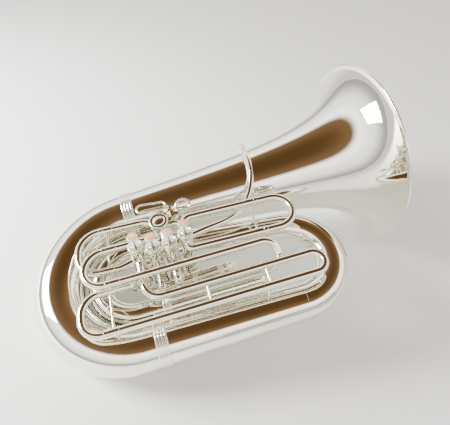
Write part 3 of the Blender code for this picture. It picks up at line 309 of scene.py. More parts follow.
def pearl_material():
    """Shell inlay: cream and salmon clouds with a fine layered grain under a clear polish."""
    shader = Shader("pearl_shell", (0.80, 0.52, 0.36), 0.25, 0.0)
    clouds = shader.noise(70.0, 4.0, 0.6, shader.stretched((1.0, 1.8, 1.0), (0.2, 0.4, 0.3)))
    layers = shader.noise(420.0, 3.0, 0.5, shader.stretched((1.0, 4.0, 1.0), (0.0, 0.0, 0.7)))
    tint = shader.ramp(clouds, [(0.34, (0.50, 0.18, 0.06)), (0.46, (0.66, 0.33, 0.15)),
                                (0.56, (0.72, 0.48, 0.28)), (0.68, (0.55, 0.28, 0.15))])
    grain = shader.ramp(layers, [(0.4, 0.0), (0.7, 0.25)])
    shader.set("Base Color", shader.mix(grain, tint, (0.84, 0.62, 0.42)))
    shader.set("Roughness", shader.ramp(layers, [(0.3, 0.20), (0.8, 0.34)]))
    shader.bump([(layers, 0.08, 0.0001)])
    shader.out.inputs["Coat Weight"].default_value = 0.25
    shader.out.inputs["Coat Roughness"].default_value = 0.05
    return shader.material


SILVER = worn_metal("silver_plate_polished", (0.95, 0.94, 0.83), (0.86, 0.81, 0.70), 0.018, waves=0.20)
SILVER_FINE = worn_metal("silver_plate_handled", (0.93, 0.915, 0.80), (0.80, 0.75, 0.63), 0.032, waves=0.18)
SILVER_INSIDE = worn_metal("silver_plate_inside", (0.94, 0.93, 0.83), (0.84, 0.80, 0.70), 0.045, waves=0.20)
STEEL = worn_metal("spring_wire", (0.52, 0.53, 0.55), (0.35, 0.33, 0.31), 0.24)
MONEL = worn_metal("piston_monel", (0.70, 0.69, 0.66), (0.52, 0.50, 0.46), 0.18)
PEARL = pearl_material()


# ---------------------------------------------------------------- mesh helpers

def cm(x, y, z):
    """A point of the body frame, given in centimetres."""
    return Vector((x, y, z)) * CM


def make_mesh(name, verts, faces):
    mesh = bpy.data.meshes.new(name)
    mesh.from_pydata([tuple(BODY_TO_ROW @ Vector(v)) for v in verts], [], faces)
    mesh.update()
    mesh.shade_smooth()
    mesh.set_sharp_from_angle(angle=math.radians(38))
    return mesh


def show(name, solid, material, *nodes, edge=0.00035):
    """One finished piece. It stands for the CAD nodes named, and rides on their body."""
    verts, faces = solid
    obj = bpy.data.objects.new(name, make_mesh(name, verts, faces))
    obj.data.materials.append(material)
    bpy.context.scene.collection.objects.link(obj)
    if edge:
        bevel = obj.modifiers.new("soft_edges", "BEVEL")
        bevel.width = edge
        bevel.segments = 2
        bevel.limit_method = "ANGLE"
        bevel.angle_limit = math.radians(50)
    body = NODE_BODY[nodes[0]] if nodes else "instrument"
    if nodes:
        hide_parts(*nodes)
    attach(obj, body)
    return obj


def merge(*solids):
    """Several solids as one vertex list and one face list."""
    verts, faces = [], []
    for part_verts, part_faces in solids:
        offset = len(verts)
        verts.extend(part_verts)
        faces.extend([tuple(i + offset for i in face) for face in part_faces])
    return verts, faces


def placed(solid, origin, turn=None):
    verts, faces = solid
    return [origin + (turn @ vert if turn else vert) for vert in verts], faces


def arc_points(corner, before, after, radius):
    """The fillet between two straight stretches that meet at a corner."""
    a = (before - corner).normalized()
    b = (after - corner).normalized()
    bend = math.pi - a.angle(b)
    if bend < math.radians(2):
        return [corner]
    reach = radius * math.tan(bend / 2)
    start = corner + a * reach
    normal = (a + b).normalized()
    centre = corner + normal * (radius / math.cos(bend / 2))
    axis = a.cross(b).normalized()
    count = max(5, round(bend / BEND_STEP))
    arm = start - centre
    return [centre + Matrix.Rotation(-bend * i / count, 3, axis) @ arm for i in range(count + 1)]


def rounded(corners, radii):
    """A path through corners, each rounded to its own radius. Each U-bend is two right angles."""
    path = [corners[0]]
    for i in range(1, len(corners) - 1):
        fillet = arc_points(corners[i], corners[i - 1], corners[i + 1], radii[i - 1])
        for point in fillet:
            if (point - path[-1]).length > 1e-6:
                path.append(point)
    if (corners[-1] - path[-1]).length > 1e-6:
        path.append(corners[-1])
    return path


def lengths_along(path):
    total = [0.0]
    for a, b in zip(path, path[1:]):
        total.append(total[-1] + (b - a).length)
    return total


def path_frames(path, up, closed=False):
    """A tangent, a normal and a binormal at each point, carried along without twist."""
    count = len(path)
    tangents = []
    for i in range(count):
        if closed:
            ahead, behind = path[(i + 1) % count] - path[i], path[i] - path[i - 1]
        else:
            ahead = path[min(i + 1, count - 1)] - path[min(i, count - 2)]
            behind = path[max(i, 1)] - path[max(i - 1, 0)]
        tangents.append((ahead.normalized() + behind.normalized()).normalized())
    normal = (up - tangents[0] * up.dot(tangents[0])).normalized()
    frames = []
    for i, tangent in enumerate(tangents):
        if i:
            turn = tangents[i - 1].rotation_difference(tangent)
            normal = turn @ normal
            normal = (normal - tangent * normal.dot(tangent)).normalized()
        frames.append((tangent, normal, tangent.cross(normal)))
    return frames


def radius_at(profile, s):
    for (s0, r0), (s1, r1) in zip(profile, profile[1:]):
        if s0 <= s <= s1:
            return r0 if s1 - s0 < 1e-9 else r0 + (r1 - r0) * (s - s0) / (s1 - s0)
    return profile[-1][1] if s > profile[-1][0] else profile[0][1]


def stations(path, frames, profile):
    """Ring centres, frames and radii: one at each path point and one at each step of the profile."""
    along = lengths_along(path)
    rings = []
    for i, s in enumerate(along):
        if not any(abs(s - step[0]) < 1e-5 for step in profile):
            rings.append((s, path[i], frames[i], radius_at(profile, s)))
    for s, r in profile:
        s = min(max(s, 0.0), along[-1])
        i = max(k for k in range(len(path) - 1) if along[k] <= s + 1e-9)
        part = (s - along[i]) / (along[i + 1] - along[i])
        here = path[i].lerp(path[i + 1], part)
        if part < 1e-4:
            frame = frames[i]
        elif part > 1 - 1e-4:
            frame = frames[i + 1]
        else:
            tangent = (path[i + 1] - path[i]).normalized()
            normal = frames[i][1]
            normal = (normal - tangent * normal.dot(tangent)).normalized()
            frame = (tangent, normal, tangent.cross(normal))
        rings.append((s, here, frame, r))
    rings.sort(key=lambda ring: ring[0])
    return rings


def ring_points(centre, frame, radius, sides):
    _, normal, binormal = frame
    turns = [2 * math.pi * k / sides for k in range(sides)]
    return [centre + (normal * math.cos(t) + binormal * math.sin(t)) * radius for t in turns]


def skin(count, sides, first=0, flip=False):
    """Quads between rings of points that follow each other."""
    faces = []
    for i in range(count - 1):
        for k in range(sides):
            a = first + i * sides + k
            b = first + i * sides + (k + 1) % sides
            quad = (a, b, b + sides, a + sides)
            faces.append(quad[::-1] if flip else quad)
    return faces


def tube_solid(path, outer, inner, sides=SIDES_TUBE, up=UP):
    """A pipe along a path. outer and inner are profiles of (distance along the path, radius)."""
    frames = path_frames(path, up)
    verts, counts = [], []
    for profile in (outer, inner):
        rings = stations(path, frames, profile)
        counts.append(len(rings))
        for _, centre, frame, radius in rings:
            verts.extend(ring_points(centre, frame, radius, sides))
    start = counts[0] * sides
    faces = skin(counts[0], sides) + skin(counts[1], sides, start, flip=True)
    last_out, last_in = (counts[0] - 1) * sides, start + (counts[1] - 1) * sides
    for k in range(sides):
        j = (k + 1) % sides
        faces.append((k, start + k, start + j, j))
        faces.append((last_out + k, last_out + j, last_in + j, last_in + k))
    return verts, faces


def plain_tube(path, radius, wall=TUBE_WALL, sides=SIDES_TUBE):
    """A pipe of one radius, or one that tapers from radius[0] to radius[1]."""
    start, end = radius if isinstance(radius, tuple) else (radius, radius)
    length = lengths_along(path)[-1]
    outer = [(0.0, start), (length, end)]
    inner = [(0.0, start - wall), (length, end - wall)]
    return tube_solid(path, outer, inner, sides)


def rod_solid(path, radius, sides=SIDES_SMALL, closed=False, up=UP):
    """A solid round bar along a path, or a ring where the path closes."""
    frames = path_frames(path, up, closed)
    verts = []
    for point, frame in zip(path, frames):
        verts.extend(ring_points(point, frame, radius, sides))
    faces = skin(len(path), sides)
    last = (len(path) - 1) * sides
    if closed:
        faces.extend((last + k, last + (k + 1) % sides, (k + 1) % sides, k) for k in range(sides))
    else:
        faces.append(tuple(range(sides))[::-1])
        faces.append(tuple(range(last, last + sides)))
    return verts, faces


def turned_solid(profile, sides):
    """Turns a closed outline of (radius, height) about Z. It runs up the outside and down the inside."""
    verts, rings = [], []
    for radius, height in profile:
        if radius < 1e-7:
            rings.append([len(verts)] * sides)
            verts.append(Vector((0.0, 0.0, height)))
            continue
        rings.append(list(range(len(verts), len(verts) + sides)))
        for k in range(sides):
            t = 2 * math.pi * k / sides
            verts.append(Vector((radius * math.cos(t), radius * math.sin(t), height)))
    faces = []
    for i in range(len(profile)):
        lower, upper = rings[i], rings[(i + 1) % len(profile)]
        for k in range(sides):
            j = (k + 1) % sides
            corners = dict.fromkeys((lower[k], lower[j], upper[j], upper[k]))
            if len(corners) > 2:
                faces.append(tuple(corners))
    return verts, faces


def plate_solid(outline, low, high):
    """A flat plate: an outline in the XY plane, extruded from one height to another."""
    verts = [Vector((x, y, low)) for x, y in outline] + [Vector((x, y, high)) for x, y in outline]
    count = len(outline)
    faces = [tuple(range(count))[::-1], tuple(range(count, 2 * count))]
    faces.extend((k, (k + 1) % count, count + (k + 1) % count, count + k) for k in range(count))
    return verts, faces


def half_circle(centre, radius, count, start):
    """Points along half a circle in the XY plane."""
    turns = [start + math.pi * k / (count - 1) for k in range(count)]
    return [(centre.x + radius * math.cos(t), centre.y + radius * math.sin(t)) for t in turns]


def slot_outline(reach, radius, step):
    """(x, y) points of a slot: half circles of one radius, centred at reach and at -reach."""
    points = []
    for end, first in ((1, -90), (-1, 90)):
        for degrees in range(first, first + 181, step):
            t = math.radians(degrees)
            points.append((end * reach + radius * math.cos(t), radius * math.sin(t)))
    return points


def u_turn(open_x, bow_x, high, low, z):
    """The corners of a slide that opens at one X and turns back at another."""
    return [Vector((x, y, z)) for x, y in ((open_x, high), (bow_x, high), (bow_x, low), (open_x, low))]


def bell_axis():
    return (BELL_RIM - Vector((0.0, BOTTOM_BOW_BEND, 0.0))).normalized()


def bell_length():
    return (BELL_RIM - Vector((0.0, BOTTOM_BOW_BEND, 0.0))).length


def bell_radius(distance_from_rim):
    reach = (distance_from_rim + BELL_FLARE_LENGTH) / BELL_FLARE_LENGTH
    return BELL_RADIUS * reach ** -BELL_FLARE_POWER


def axis_turn(direction):
    """The rotation that takes +Z to a direction and keeps a vertex of each ring near the body's Z."""
    z = direction.normalized()
    x = (UP - z * z.z).normalized()
    return Matrix((x, z.cross(x), z)).transposed().to_quaternion()


def bow_arc(centre, radius, start, sweep, count):
    """Points on an arc in the body's plane. Angles are in degrees, from +X towards +Y."""
    turns = [math.radians(start + sweep * k / count) for k in range(count + 1)]
    return [Vector((centre[0] + radius * math.cos(t), centre[1] + radius * math.sin(t), 0.0))
            for t in turns]


def outer_branch_line():
    start = Vector((OUTER_JOINT_X, -BOTTOM_BOW_BEND, 0.0))
    return start, OUTER_BRANCH_END - Vector((TOP_JOINT, 0.0, 0.0))


def top_bow_centre():
    return OUTER_BRANCH_END.x, OUTER_BRANCH_END.y + TOP_BOW_BEND


def second_branch_head():
    x, y = top_bow_centre()
    return Vector((x, y + TOP_BOW_BEND, 0.0))


def top_bow_path():
    x, y = top_bow_centre()
    arc = bow_arc((x, y), TOP_BOW_BEND, -90, 180, 48)
    start = arc[0] - Vector((TOP_JOINT - 2 * GAP, 0.0, 0.0))
    return [start] + arc + [arc[-1] + second_branch_direction() * 0.006]


def inner_bow_start():
    """Angle, in degrees, at which the second branch meets the inner bow's centreline as a tangent."""
    reach = second_branch_head() - INNER_BOW_CENTRE
    return math.degrees(math.atan2(reach.y, reach.x) + math.acos(INNER_BOW_BEND / reach.length))


def second_branch_direction():
    """From the top bow down to the inner bow."""
    t = math.radians(inner_bow_start())
    return Vector((-math.sin(t), math.cos(t), 0.0))


def inner_bow_arc():
    start = inner_bow_start()
    return bow_arc(INNER_BOW_CENTRE, INNER_BOW_BEND, start, 270 - start, 40)


def shell_solid(path, radii, sides, first, last, thickness):
    """A curved plate that follows part of a tube's surface, from one of its sides to another."""
    frames = path_frames(path, UP)
    across = last - first + 1
    verts = []
    for point, frame, radius in zip(path, frames, radii):
        lower = ring_points(point, frame, radius, sides)[first:last + 1]
        upper = ring_points(point, frame, radius + thickness, sides)[first:last + 1]
        verts.extend(lower + upper[::-1])
    ring = 2 * across
    faces = skin(len(path), ring)
    end = (len(path) - 1) * ring
    faces.append(tuple(range(ring))[::-1])
    faces.append(tuple(range(end, end + ring)))
    return verts, [face[::-1] for face in faces]


def casing_point(valve, z):
    """The point of a casing's axis at a height of the body frame. Valves count from 0."""
    x, y = VALVE_TOPS[valve]
    return Vector((x, y, VALVE_TOP_Z)) + VALVE_LEAN * ((z - VALVE_TOP_Z) / VALVE_LEAN.z)


def into_casing(valve, z, before):
    """Where a tube that comes from a point stops, just inside a casing's wall."""
    centre = casing_point(valve, z)
    return centre + (before - centre).normalized() * TUBE_STOP


def seated(solid):
    """The ends of tubes that meet a casing, pushed out to the middle of its wall and clear of its bore."""
    verts, faces = solid
    wall = (CASING_R + CASING_BORE_R) / 2
    feet = [valve_foot(valve) for valve in range(4)]
    moved = []
    for vert in verts:
        for foot in feet:
            height = (vert - foot).dot(VALVE_LEAN)
            off = vert - foot - VALVE_LEAN * height
            if -0.002 < height < CASING_LENGTH and off.length < wall:
                vert = foot + VALVE_LEAN * height + off.normalized() * wall
        moved.append(vert)
    return moved, faces


def valve_foot(valve):
    x, y = VALVE_TOPS[valve]
    return Vector((x, y, VALVE_TOP_Z)) - VALVE_LEAN * CASING_LENGTH


def stay(a, b, trim_a=FERRULE_R, trim_b=None, radius=0.0028):
    """A round stay between two tube axes. It sinks a little into the walls it is soldered to."""
    along = (b - a).normalized()
    trim_b = trim_a if trim_b is None else trim_b
    up = ALONG_X if abs(along.x) < 0.9 else UP
    return rod_solid([a + along * (trim_a - STAY_SINK), b - along * (trim_b - STAY_SINK)], radius, up=up)


def sleeve_tube(corners, radii, up=UP):
    """A fixed valve tube, with a collar where it takes a slide and bored out to its end."""
    path = rounded(corners, radii)
    total = lengths_along(path)[-1]
    outer = [(0.0, FERRULE_R), (SLEEVE_COLLAR_LENGTH, FERRULE_R), (SLEEVE_COLLAR_LENGTH, TUBE_R),
             (total, TUBE_R)]
    inner = [(0.0, SLEEVE_BORE_R), (total, SLEEVE_BORE_R)]
    return tube_solid(path, outer, inner, SIDES_TUBE, up)


def slide_bow(corners, radii, leg, up=UP):
    """A slide: a leg, a ferrule, the bend, a ferrule and a leg."""
    path = rounded(corners, radii)
    total = lengths_along(path)[-1]
    half = [(0.0, LEG_R), (leg, LEG_R), (leg, FERRULE_R), (leg + FERRULE_LENGTH, FERRULE_R),
            (leg + FERRULE_LENGTH, TUBE_R)]
    outer = half + [(total - s, r) for s, r in reversed(half)]
    inner = [(0.0, LEG_R - TUBE_WALL), (total, LEG_R - TUBE_WALL)]
    return tube_solid(path, outer, inner, SIDES_TUBE, up)


def turned_about(points, pivot, degrees):
    """Points turned in the body's plane about a pivot."""
    turn = Matrix.Rotation(math.radians(degrees), 3, "Z")
    return [pivot + turn @ (point - pivot) for point in points]


def into_rotor(z, before):
    """Where a tube that comes from a point stops, just inside the rotary valve's casing."""
    centre = Vector((ROTOR_AXIS.x, ROTOR_AXIS.y, z))
    return centre + (before - centre).normalized() * (ROTOR_CASING_R - 0.0050)


def lever_pin():
    """Centre of the lever's pin at rest."""
    t = math.pi + LEVER_SWING / 2
    return LEVER_HINGE + Vector((math.cos(t), math.sin(t), 0.0)) * LEVER_ARM


def upright_rod(x, y, low, high, radius):
    ends = [Vector((x, y, low)), Vector((x, y, high))]
    return rod_solid(ends, radius, up=ALONG_X)


def leadpipe_path():
    """Valve one, under the first loop, then round the front of the bell stack to the receiver."""
    corners = [cm(19.3, 1.8, 9.35), cm(24.0, 2.9, 8.3), cm(28.3, 5.3, 7.25),
               cm(31.2, 8.7, 6.9), cm(33.2, 11.9, 7.8), cm(34.3, 15.0, 9.4), cm(34.7, 18.6, 9.9),
               cm(34.6, 21.5, 9.5)]
    corners.insert(0, into_casing(0, 0.0975, corners[0]))
    return eased(rounded(corners, (0.05, 0.08, 0.06, 0.05, 0.05, 0.04, 0.05)), 0.004, 45)


def eased(path, spacing, rounds):
    """The same route at even spacing, with its bends run into each other. Both ends stay straight."""
    reach = lengths_along(path)
    count = round(reach[-1] / spacing)
    even, k = [], 0
    for i in range(count + 1):
        at = reach[-1] * i / count
        while k < len(path) - 2 and reach[k + 1] < at:
            k += 1
        even.append(path[k].lerp(path[k + 1], (at - reach[k]) / (reach[k + 1] - reach[k])))
    for _ in range(rounds):
        even = even[:2] + [(a + b * 2 + c) / 4 for a, b, c in zip(even[1:], even[2:], even[3:])] + even[-2:]
    return even


# ---------------------------------------------------------------- the conical body

def ring_band(tube_r, length, rings, lift=0.0010, bead=0.0011):
    """Closed outline of a soldered collar with evenly spaced half-round rings, turned about Z."""
    pitch = length / rings
    outline = []
    for ring in range(rings):
        middle = (ring + 0.5) * pitch
        outline.append((tube_r + lift, ring * pitch + 0.0002))
        for degrees in range(-90, 91, 30):
            t = math.radians(degrees)
            outline.append((tube_r + lift + bead * math.cos(t), middle + pitch * 0.34 * math.sin(t)))
    outline.append((tube_r + lift, length - 0.0002))
    return outline + [(tube_r - 0.0004, length - 0.0002), (tube_r - 0.0004, 0.0002)]


def band(origin, direction, tube_r, length, rings, sides, **sizes):
    solid = turned_solid(ring_band(tube_r, length, rings, **sizes), sides)
    return placed(solid, origin, axis_turn(direction))


def bell_profile():
    """Closed outline of the bell: up the outside, round the rolled rim and down the inside."""
    length = bell_length()
    reach = length - BELL_JOINT + 0.006
    count = 64
    distances = [0.0045 + (reach - 0.0045) * (k / count) ** 2.2 for k in range(count + 1)]
    outer = [(bell_radius(d), length - d) for d in reversed(distances)]
    bead_r, bead_z = BELL_RADIUS - RIM_BEAD, length - RIM_BEAD * 0.4
    for degrees in range(-70, 151, 20):
        t = math.radians(degrees)
        outer.append((bead_r + RIM_BEAD * math.cos(t), bead_z + RIM_BEAD * math.sin(t)))
    inner = []
    for d in distances:
        slope = (bell_radius(d + 1e-4) - bell_radius(d - 1e-4)) / 2e-4
        across = 1 / math.sqrt(1 + slope * slope)
        inner.append((bell_radius(d) - BELL_WALL * across, length - d - BELL_WALL * slope * across))
    return outer, inner


def build_bell():
    outer, inner = bell_profile()
    origin, turn = Vector((0.0, BOTTOM_BOW_BEND, 0.0)), axis_turn(bell_axis())
    solid = placed(turned_solid(outer + inner, SIDES_BELL), origin, turn)
    bell = show("bell_shell", solid, SILVER, "bell", edge=0)
    bell.data.materials.append(SILVER_INSIDE)
    steps = len(outer) + len(inner)
    for i, polygon in enumerate(bell.data.polygons):
        ring = i // SIDES_BELL
        polygon.material_index = 1 if len(outer) <= ring < steps - 1 else 0


def build_bows():
    arc = bow_arc((0.0, 0.0), BOTTOM_BOW_BEND, 90, 180, 48)
    path = [arc[0] + bell_axis() * (BELL_JOINT + 0.004)] + arc
    path.append(Vector((OUTER_JOINT_X + 0.004, -BOTTOM_BOW_BEND, 0.0)))
    joint_r = bell_radius(bell_length() - BELL_JOINT)
    show("bottom_bow_tube", plain_tube(path, (joint_r, BOTTOM_BOW_R[1]), BODY_WALL, SIDES_BODY),
         SILVER, "bottom_bow")
    start, end = outer_branch_line()
    line = [start, end + Vector((0.006, 0, 0))]
    show("outer_branch_tube", plain_tube(line, (BOTTOM_BOW_R[1], OUTER_BRANCH_R), BODY_WALL, SIDES_BODY),
         SILVER, "outer_branch")
    show("top_bow_tube", plain_tube(top_bow_path(), (OUTER_BRANCH_R, TOP_BOW_R), BODY_WALL, SIDES_BODY),
         SILVER, "top_bow")
    along, arc = second_branch_direction(), inner_bow_arc()
    head, foot = second_branch_head() + along * 0.005, arc[0] - along * 0.005
    show("second_branch_tube", plain_tube([head, foot], (TOP_BOW_R, SECOND_BRANCH_R), BODY_WALL, SIDES_BODY),
         SILVER, "second_branch")
    path = [arc[0] - along * 0.006] + arc + [Vector((THIRD_JOINT_X + 0.002, THIRD_BRANCH_Y, 0.0))]
    show("inner_bow_tube", plain_tube(path, (SECOND_BRANCH_R, INNER_BOW_R), BODY_WALL, SIDES_BODY),
         SILVER, "inner_bow")


def build_body_ferrules():
    """Collars with raised rings over the joints of the conical tube."""
    foot = Vector((0.0, BOTTOM_BOW_BEND, 0.0))
    joint_r = bell_radius(bell_length() - 0.030)
    rings = band(foot + bell_axis() * 0.001, bell_axis(), joint_r + 0.0006, 0.028, 4, SIDES_BELL,
                 lift=0.0008, bead=0.0017)
    show("bell_ferrule_rings", rings, SILVER_FINE, "bell_ferrule")
    rings = band(Vector((0.026, -BOTTOM_BOW_BEND, 0.0)), ALONG_X, BOTTOM_BOW_R[1] + 0.0008, 0.026, 4,
                 SIDES_BODY, lift=0.0008, bead=0.0017)
    show("bow_ferrule_rings", rings, SILVER_FINE, "bow_ferrule")
    joint = Vector((THIRD_JOINT_X - 0.0094, THIRD_BRANCH_Y, 0.0))
    rings = band(joint, ALONG_X, INNER_BOW_R + 0.0006, 0.020, 3, SIDES_BODY, lift=0.0008, bead=0.0014)
    show("branch_ferrule_rings", rings, SILVER_FINE, "branch_ferrule")


def build_third_branch_and_slide():
    mouth, bore = MAIN_SLIDE_MOUTH_X, MAIN_SLIDE_BORE_R
    path = [Vector((THIRD_JOINT_X, THIRD_BRANCH_Y, 0.0)), Vector((mouth, THIRD_BRANCH_Y, 0.0))]
    length = mouth - THIRD_JOINT_X
    sleeve = length - 0.085
    outer = [(0.0, INNER_BOW_R), (sleeve, THIRD_BRANCH_R), (length - 0.02, THIRD_BRANCH_R),
             (length - 0.02, THIRD_BRANCH_R + 0.001), (length, THIRD_BRANCH_R + 0.001)]
    inner = [(0.0, INNER_BOW_R - BODY_WALL), (sleeve, THIRD_BRANCH_R - 0.0012), (sleeve, bore),
             (length, bore)]
    show("third_branch_tube", tube_solid(path, outer, inner, SIDES_BRANCH, ALONG_Y), SILVER, "third_branch")
    low_z, bend = MAIN_SLIDE_TOP_Z - MAIN_SLIDE_DROP, MAIN_SLIDE_DROP / 2
    inside, bow_x = mouth - 0.080, mouth + 0.030
    corners = [Vector((x, THIRD_BRANCH_Y, z)) for x, z in (
        (inside, 0.0), (bow_x + bend, 0.0), (bow_x + bend, low_z), (inside, low_z))]
    path = rounded(corners, (bend, bend))
    total, leg = lengths_along(path)[-1], 0.080 + GAP
    ring, body = THIRD_BRANCH_R + 0.001, THIRD_BRANCH_R - 0.0008
    half = [(0.0, MAIN_SLIDE_LEG_R), (leg, MAIN_SLIDE_LEG_R), (leg, ring), (leg + 0.012, ring),
            (leg + 0.012, body)]
    outer = half + [(total - s, r) for s, r in reversed(half)]
    inner = [(0.0, MAIN_SLIDE_LEG_R - 0.0009), (total, MAIN_SLIDE_LEG_R - 0.0009)]
    show("main_slide_bow", tube_solid(path, outer, inner, SIDES_BRANCH, ALONG_Y), SILVER,
         "main_tuning_slide")
    corners = [Vector((mouth, THIRD_BRANCH_Y, low_z)), Vector((0.075, THIRD_BRANCH_Y, low_z)),
               Vector((0.075, -0.047, low_z)), Vector((0.229, -0.047, low_z)), Vector((0.229, -0.047, 0.014)),
               Vector((0.0265, -0.058, 0.014))]
    corners.append(into_casing(3, 0.012, corners[-1]))
    path = rounded(corners, (0.026, 0.026, 0.030, 0.030, 0.016))
    total = lengths_along(path)[-1]
    outer = [(0.0, THIRD_BRANCH_R + 0.001), (0.02, THIRD_BRANCH_R + 0.001), (0.02, THIRD_BRANCH_R),
             (0.095, THIRD_BRANCH_R), (0.13, 0.0170), (total * 0.55, 0.0145),
             (total - 0.10, 0.0145), (total - 0.045, TUBE_R), (total, TUBE_R)]
    inner = [(0.0, bore), (0.090, bore), (0.13, 0.0160), (total * 0.55, 0.0136),
             (total - 0.10, 0.0136), (total - 0.045, 0.0087), (total, 0.0087)]
    show("return_branch_tube", seated(tube_solid(path, outer, inner, SIDES_BRANCH, ALONG_Y)), SILVER,
         "return_branch")
    for number, x in enumerate((0.131, 0.194)):
        origin = Vector((x, -0.052, 0.014))
        rings = band(origin, Vector((1, 0.054, 0)), 0.0147, 0.012, 2, SIDES_BRANCH, lift=0.0006, bead=0.0008)
        show(f"return_branch_band_{number + 1}", rings, SILVER_FINE)


def build_guards():
    """Wear plates soldered on the outer branch and the top bow."""
    head, foot = outer_branch_line()
    x, y = top_bow_centre()
    arc = bow_arc((x, y), TOP_BOW_BEND, -90, 180, 48)
    path = [arc[0] - Vector((TOP_JOINT - 2 * GAP, 0.0, 0.0))] + arc
    along = lengths_along(path)
    fall = (OUTER_BRANCH_R - TOP_BOW_R) / (along[-1] + 0.006)
    radii = [OUTER_BRANCH_R - fall * s + GAP for s in along]
    part = (0.159 - OUTER_JOINT_X) / (foot.x - OUTER_JOINT_X)
    start_r = BOTTOM_BOW_R[1] + (OUTER_BRANCH_R - BOTTOM_BOW_R[1]) * part + GAP
    side = SIDES_BODY // 16
    plate = shell_solid([head.lerp(foot, part)] + path[:10], [start_r] + radii[:10], SIDES_BODY,
                        2 * side, 6 * side, GUARD_WALL)
    show("branch_guard_plate", plate, SILVER_FINE, "branch_guard")
    plate = shell_solid(path[21:45], radii[21:45], SIDES_BODY, 3 * side, 5 * side, GUARD_WALL)
    show("top_bow_guard_plate", plate, SILVER_FINE, "top_bow_guard")


# ---------------------------------------------------------------- piston valves

def build_valves():
    top, turn = CASING_LENGTH, axis_turn(VALVE_LEAN)
    rim, skirt = CAP_R - 0.0012, CASING_R + GAP + 0.0001
    bore = PISTON_R - PISTON_WALL
    base = STEM_END + GAP
    casing = [(CASING_R, 0.0), (CASING_R, 0.0090), (CASING_R + 0.0006, 0.0096), (CASING_R + 0.0006, 0.0124),
              (CASING_R, 0.0130), (CASING_R, top - 0.013), (CASING_R + 0.0006, top - 0.0124),
              (CASING_R + 0.0006, top - 0.0088), (CASING_R, top - 0.0082), (CASING_R, top),
              (CASING_BORE_R, top), (CASING_BORE_R, 0.0)]
    top_cap = [(CAP_R, top - CAP_SKIRT), (CAP_R, top + 0.0030), (rim + 0.0004, top + 0.0044),
               (rim, top + CAP_TOP), (rim - 0.0016, top + CAP_TOP + 0.0001),
               (rim - 0.0024, top + CAP_TOP - 0.0006),
               (STEM_HOLE_R + 0.0044, top + CAP_TOP - 0.0004), (STEM_HOLE_R + 0.003, top + CAP_TOP + 0.0008),
               (STEM_HOLE_R, top + CAP_TOP + 0.0008), (STEM_HOLE_R, top + GAP), (skirt, top + GAP),
               (skirt, top - CAP_SKIRT)]
    bottom_cap = [(0.003, -0.0080), (0.0068, -0.0080), (0.0074, -0.0071), (rim - 0.0044, -0.0071),
                  (rim - 0.003, -0.0080), (rim, -0.0065), (CAP_R, -0.0050), (CAP_R, 0.0055), (skirt, 0.0055),
                  (skirt, -GAP), (0.003, -GAP)]
    piston = [(PISTON_R, PISTON_FOOT), (PISTON_R, PISTON_HEAD), (STEM_R + 0.002, PISTON_HEAD + 0.001),
              (STEM_R, PISTON_HEAD + 0.003), (STEM_R, STEM_END), (0.0, STEM_END),
              (0.0, PISTON_HEAD - 0.003), (bore, PISTON_HEAD - 0.003), (bore, PISTON_FOOT)]
    seat = [(0.0, base), (0.0050, base), (0.0064, base + 0.0012), (BUTTON_R - 0.0008, base + 0.0026),
            (BUTTON_R, base + 0.0036), (BUTTON_R, base + 0.0050), (BUTTON_R - 0.0004, base + 0.0057),
            (BUTTON_R - 0.0011, base + 0.0057), (BUTTON_R - 0.0012, base + 0.0044), (0.0, base + 0.0040)]
    pearl = [(0.0, base + 0.0040), (BUTTON_R - 0.0013, base + 0.0046), (BUTTON_R - 0.0013, base + 0.0054),
             (BUTTON_R - 0.0022, base + 0.0061), (0.0060, base + 0.00645), (0.0, base + BUTTON_HEIGHT)]
    coils = SPRING_TURNS * 32
    low, high = 0.0002, PISTON_FOOT - 0.0005
    wire = []
    for k in range(coils + 1):
        t = 2 * math.pi * k / 32
        height = low + SPRING_WIRE_R + (high - low - 2 * SPRING_WIRE_R) * k / coils
        wire.append(Vector((SPRING_R * math.cos(t), SPRING_R * math.sin(t), height)))
    for valve in range(4):
        foot, number = valve_foot(valve), valve + 1

        def turned(profile):
            return placed(turned_solid(profile, SIDES_VALVE), foot, turn)

        show(f"casing_{number}", turned(casing), SILVER, f"valve_casing_{number}")
        show(f"screw_cap_top_{number}", turned(top_cap), SILVER_FINE, f"top_cap_{number}")
        show(f"screw_cap_bottom_{number}", turned(bottom_cap), SILVER_FINE, f"bottom_cap_{number}")
        show(f"piston_{number}_stem", turned(piston), MONEL, f"piston_{number}")
        show(f"button_seat_{number}", turned(seat), SILVER_FINE, f"finger_button_{number}", edge=0)
        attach(show(f"button_pearl_{number}", turned(pearl), PEARL, edge=0), f"piston_{number}_group")
        spring = show(f"spring_coil_{number}", placed(rod_solid(wire, SPRING_WIRE_R, 12), foot, turn), STEEL,
                      f"piston_spring_{number}", edge=0)
        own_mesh(spring)


def build_knuckles():
    """Short tubes between the casings."""
    solids = []
    for valve, z in enumerate(KNUCKLE_Z):
        path = [into_casing(valve, z, casing_point(valve + 1, z)),
                into_casing(valve + 1, z, casing_point(valve, z))]
        solids.append(plain_tube(path, TUBE_R - 0.0005))
    show("casing_knuckles", seated(merge(*solids)), SILVER)


# ---------------------------------------------------------------- valve slides

def loop(name, mouth_tubes, cad_nodes, slide, slide_node):
    """A valve's fixed tubes with their stays as one soldered piece, and the slide that draws out of them."""
    show(name + "_fixed_tubes", seated(merge(*mouth_tubes)), SILVER, *cad_nodes)
    show(name + "_slide_bow", slide, SILVER, slide_node)


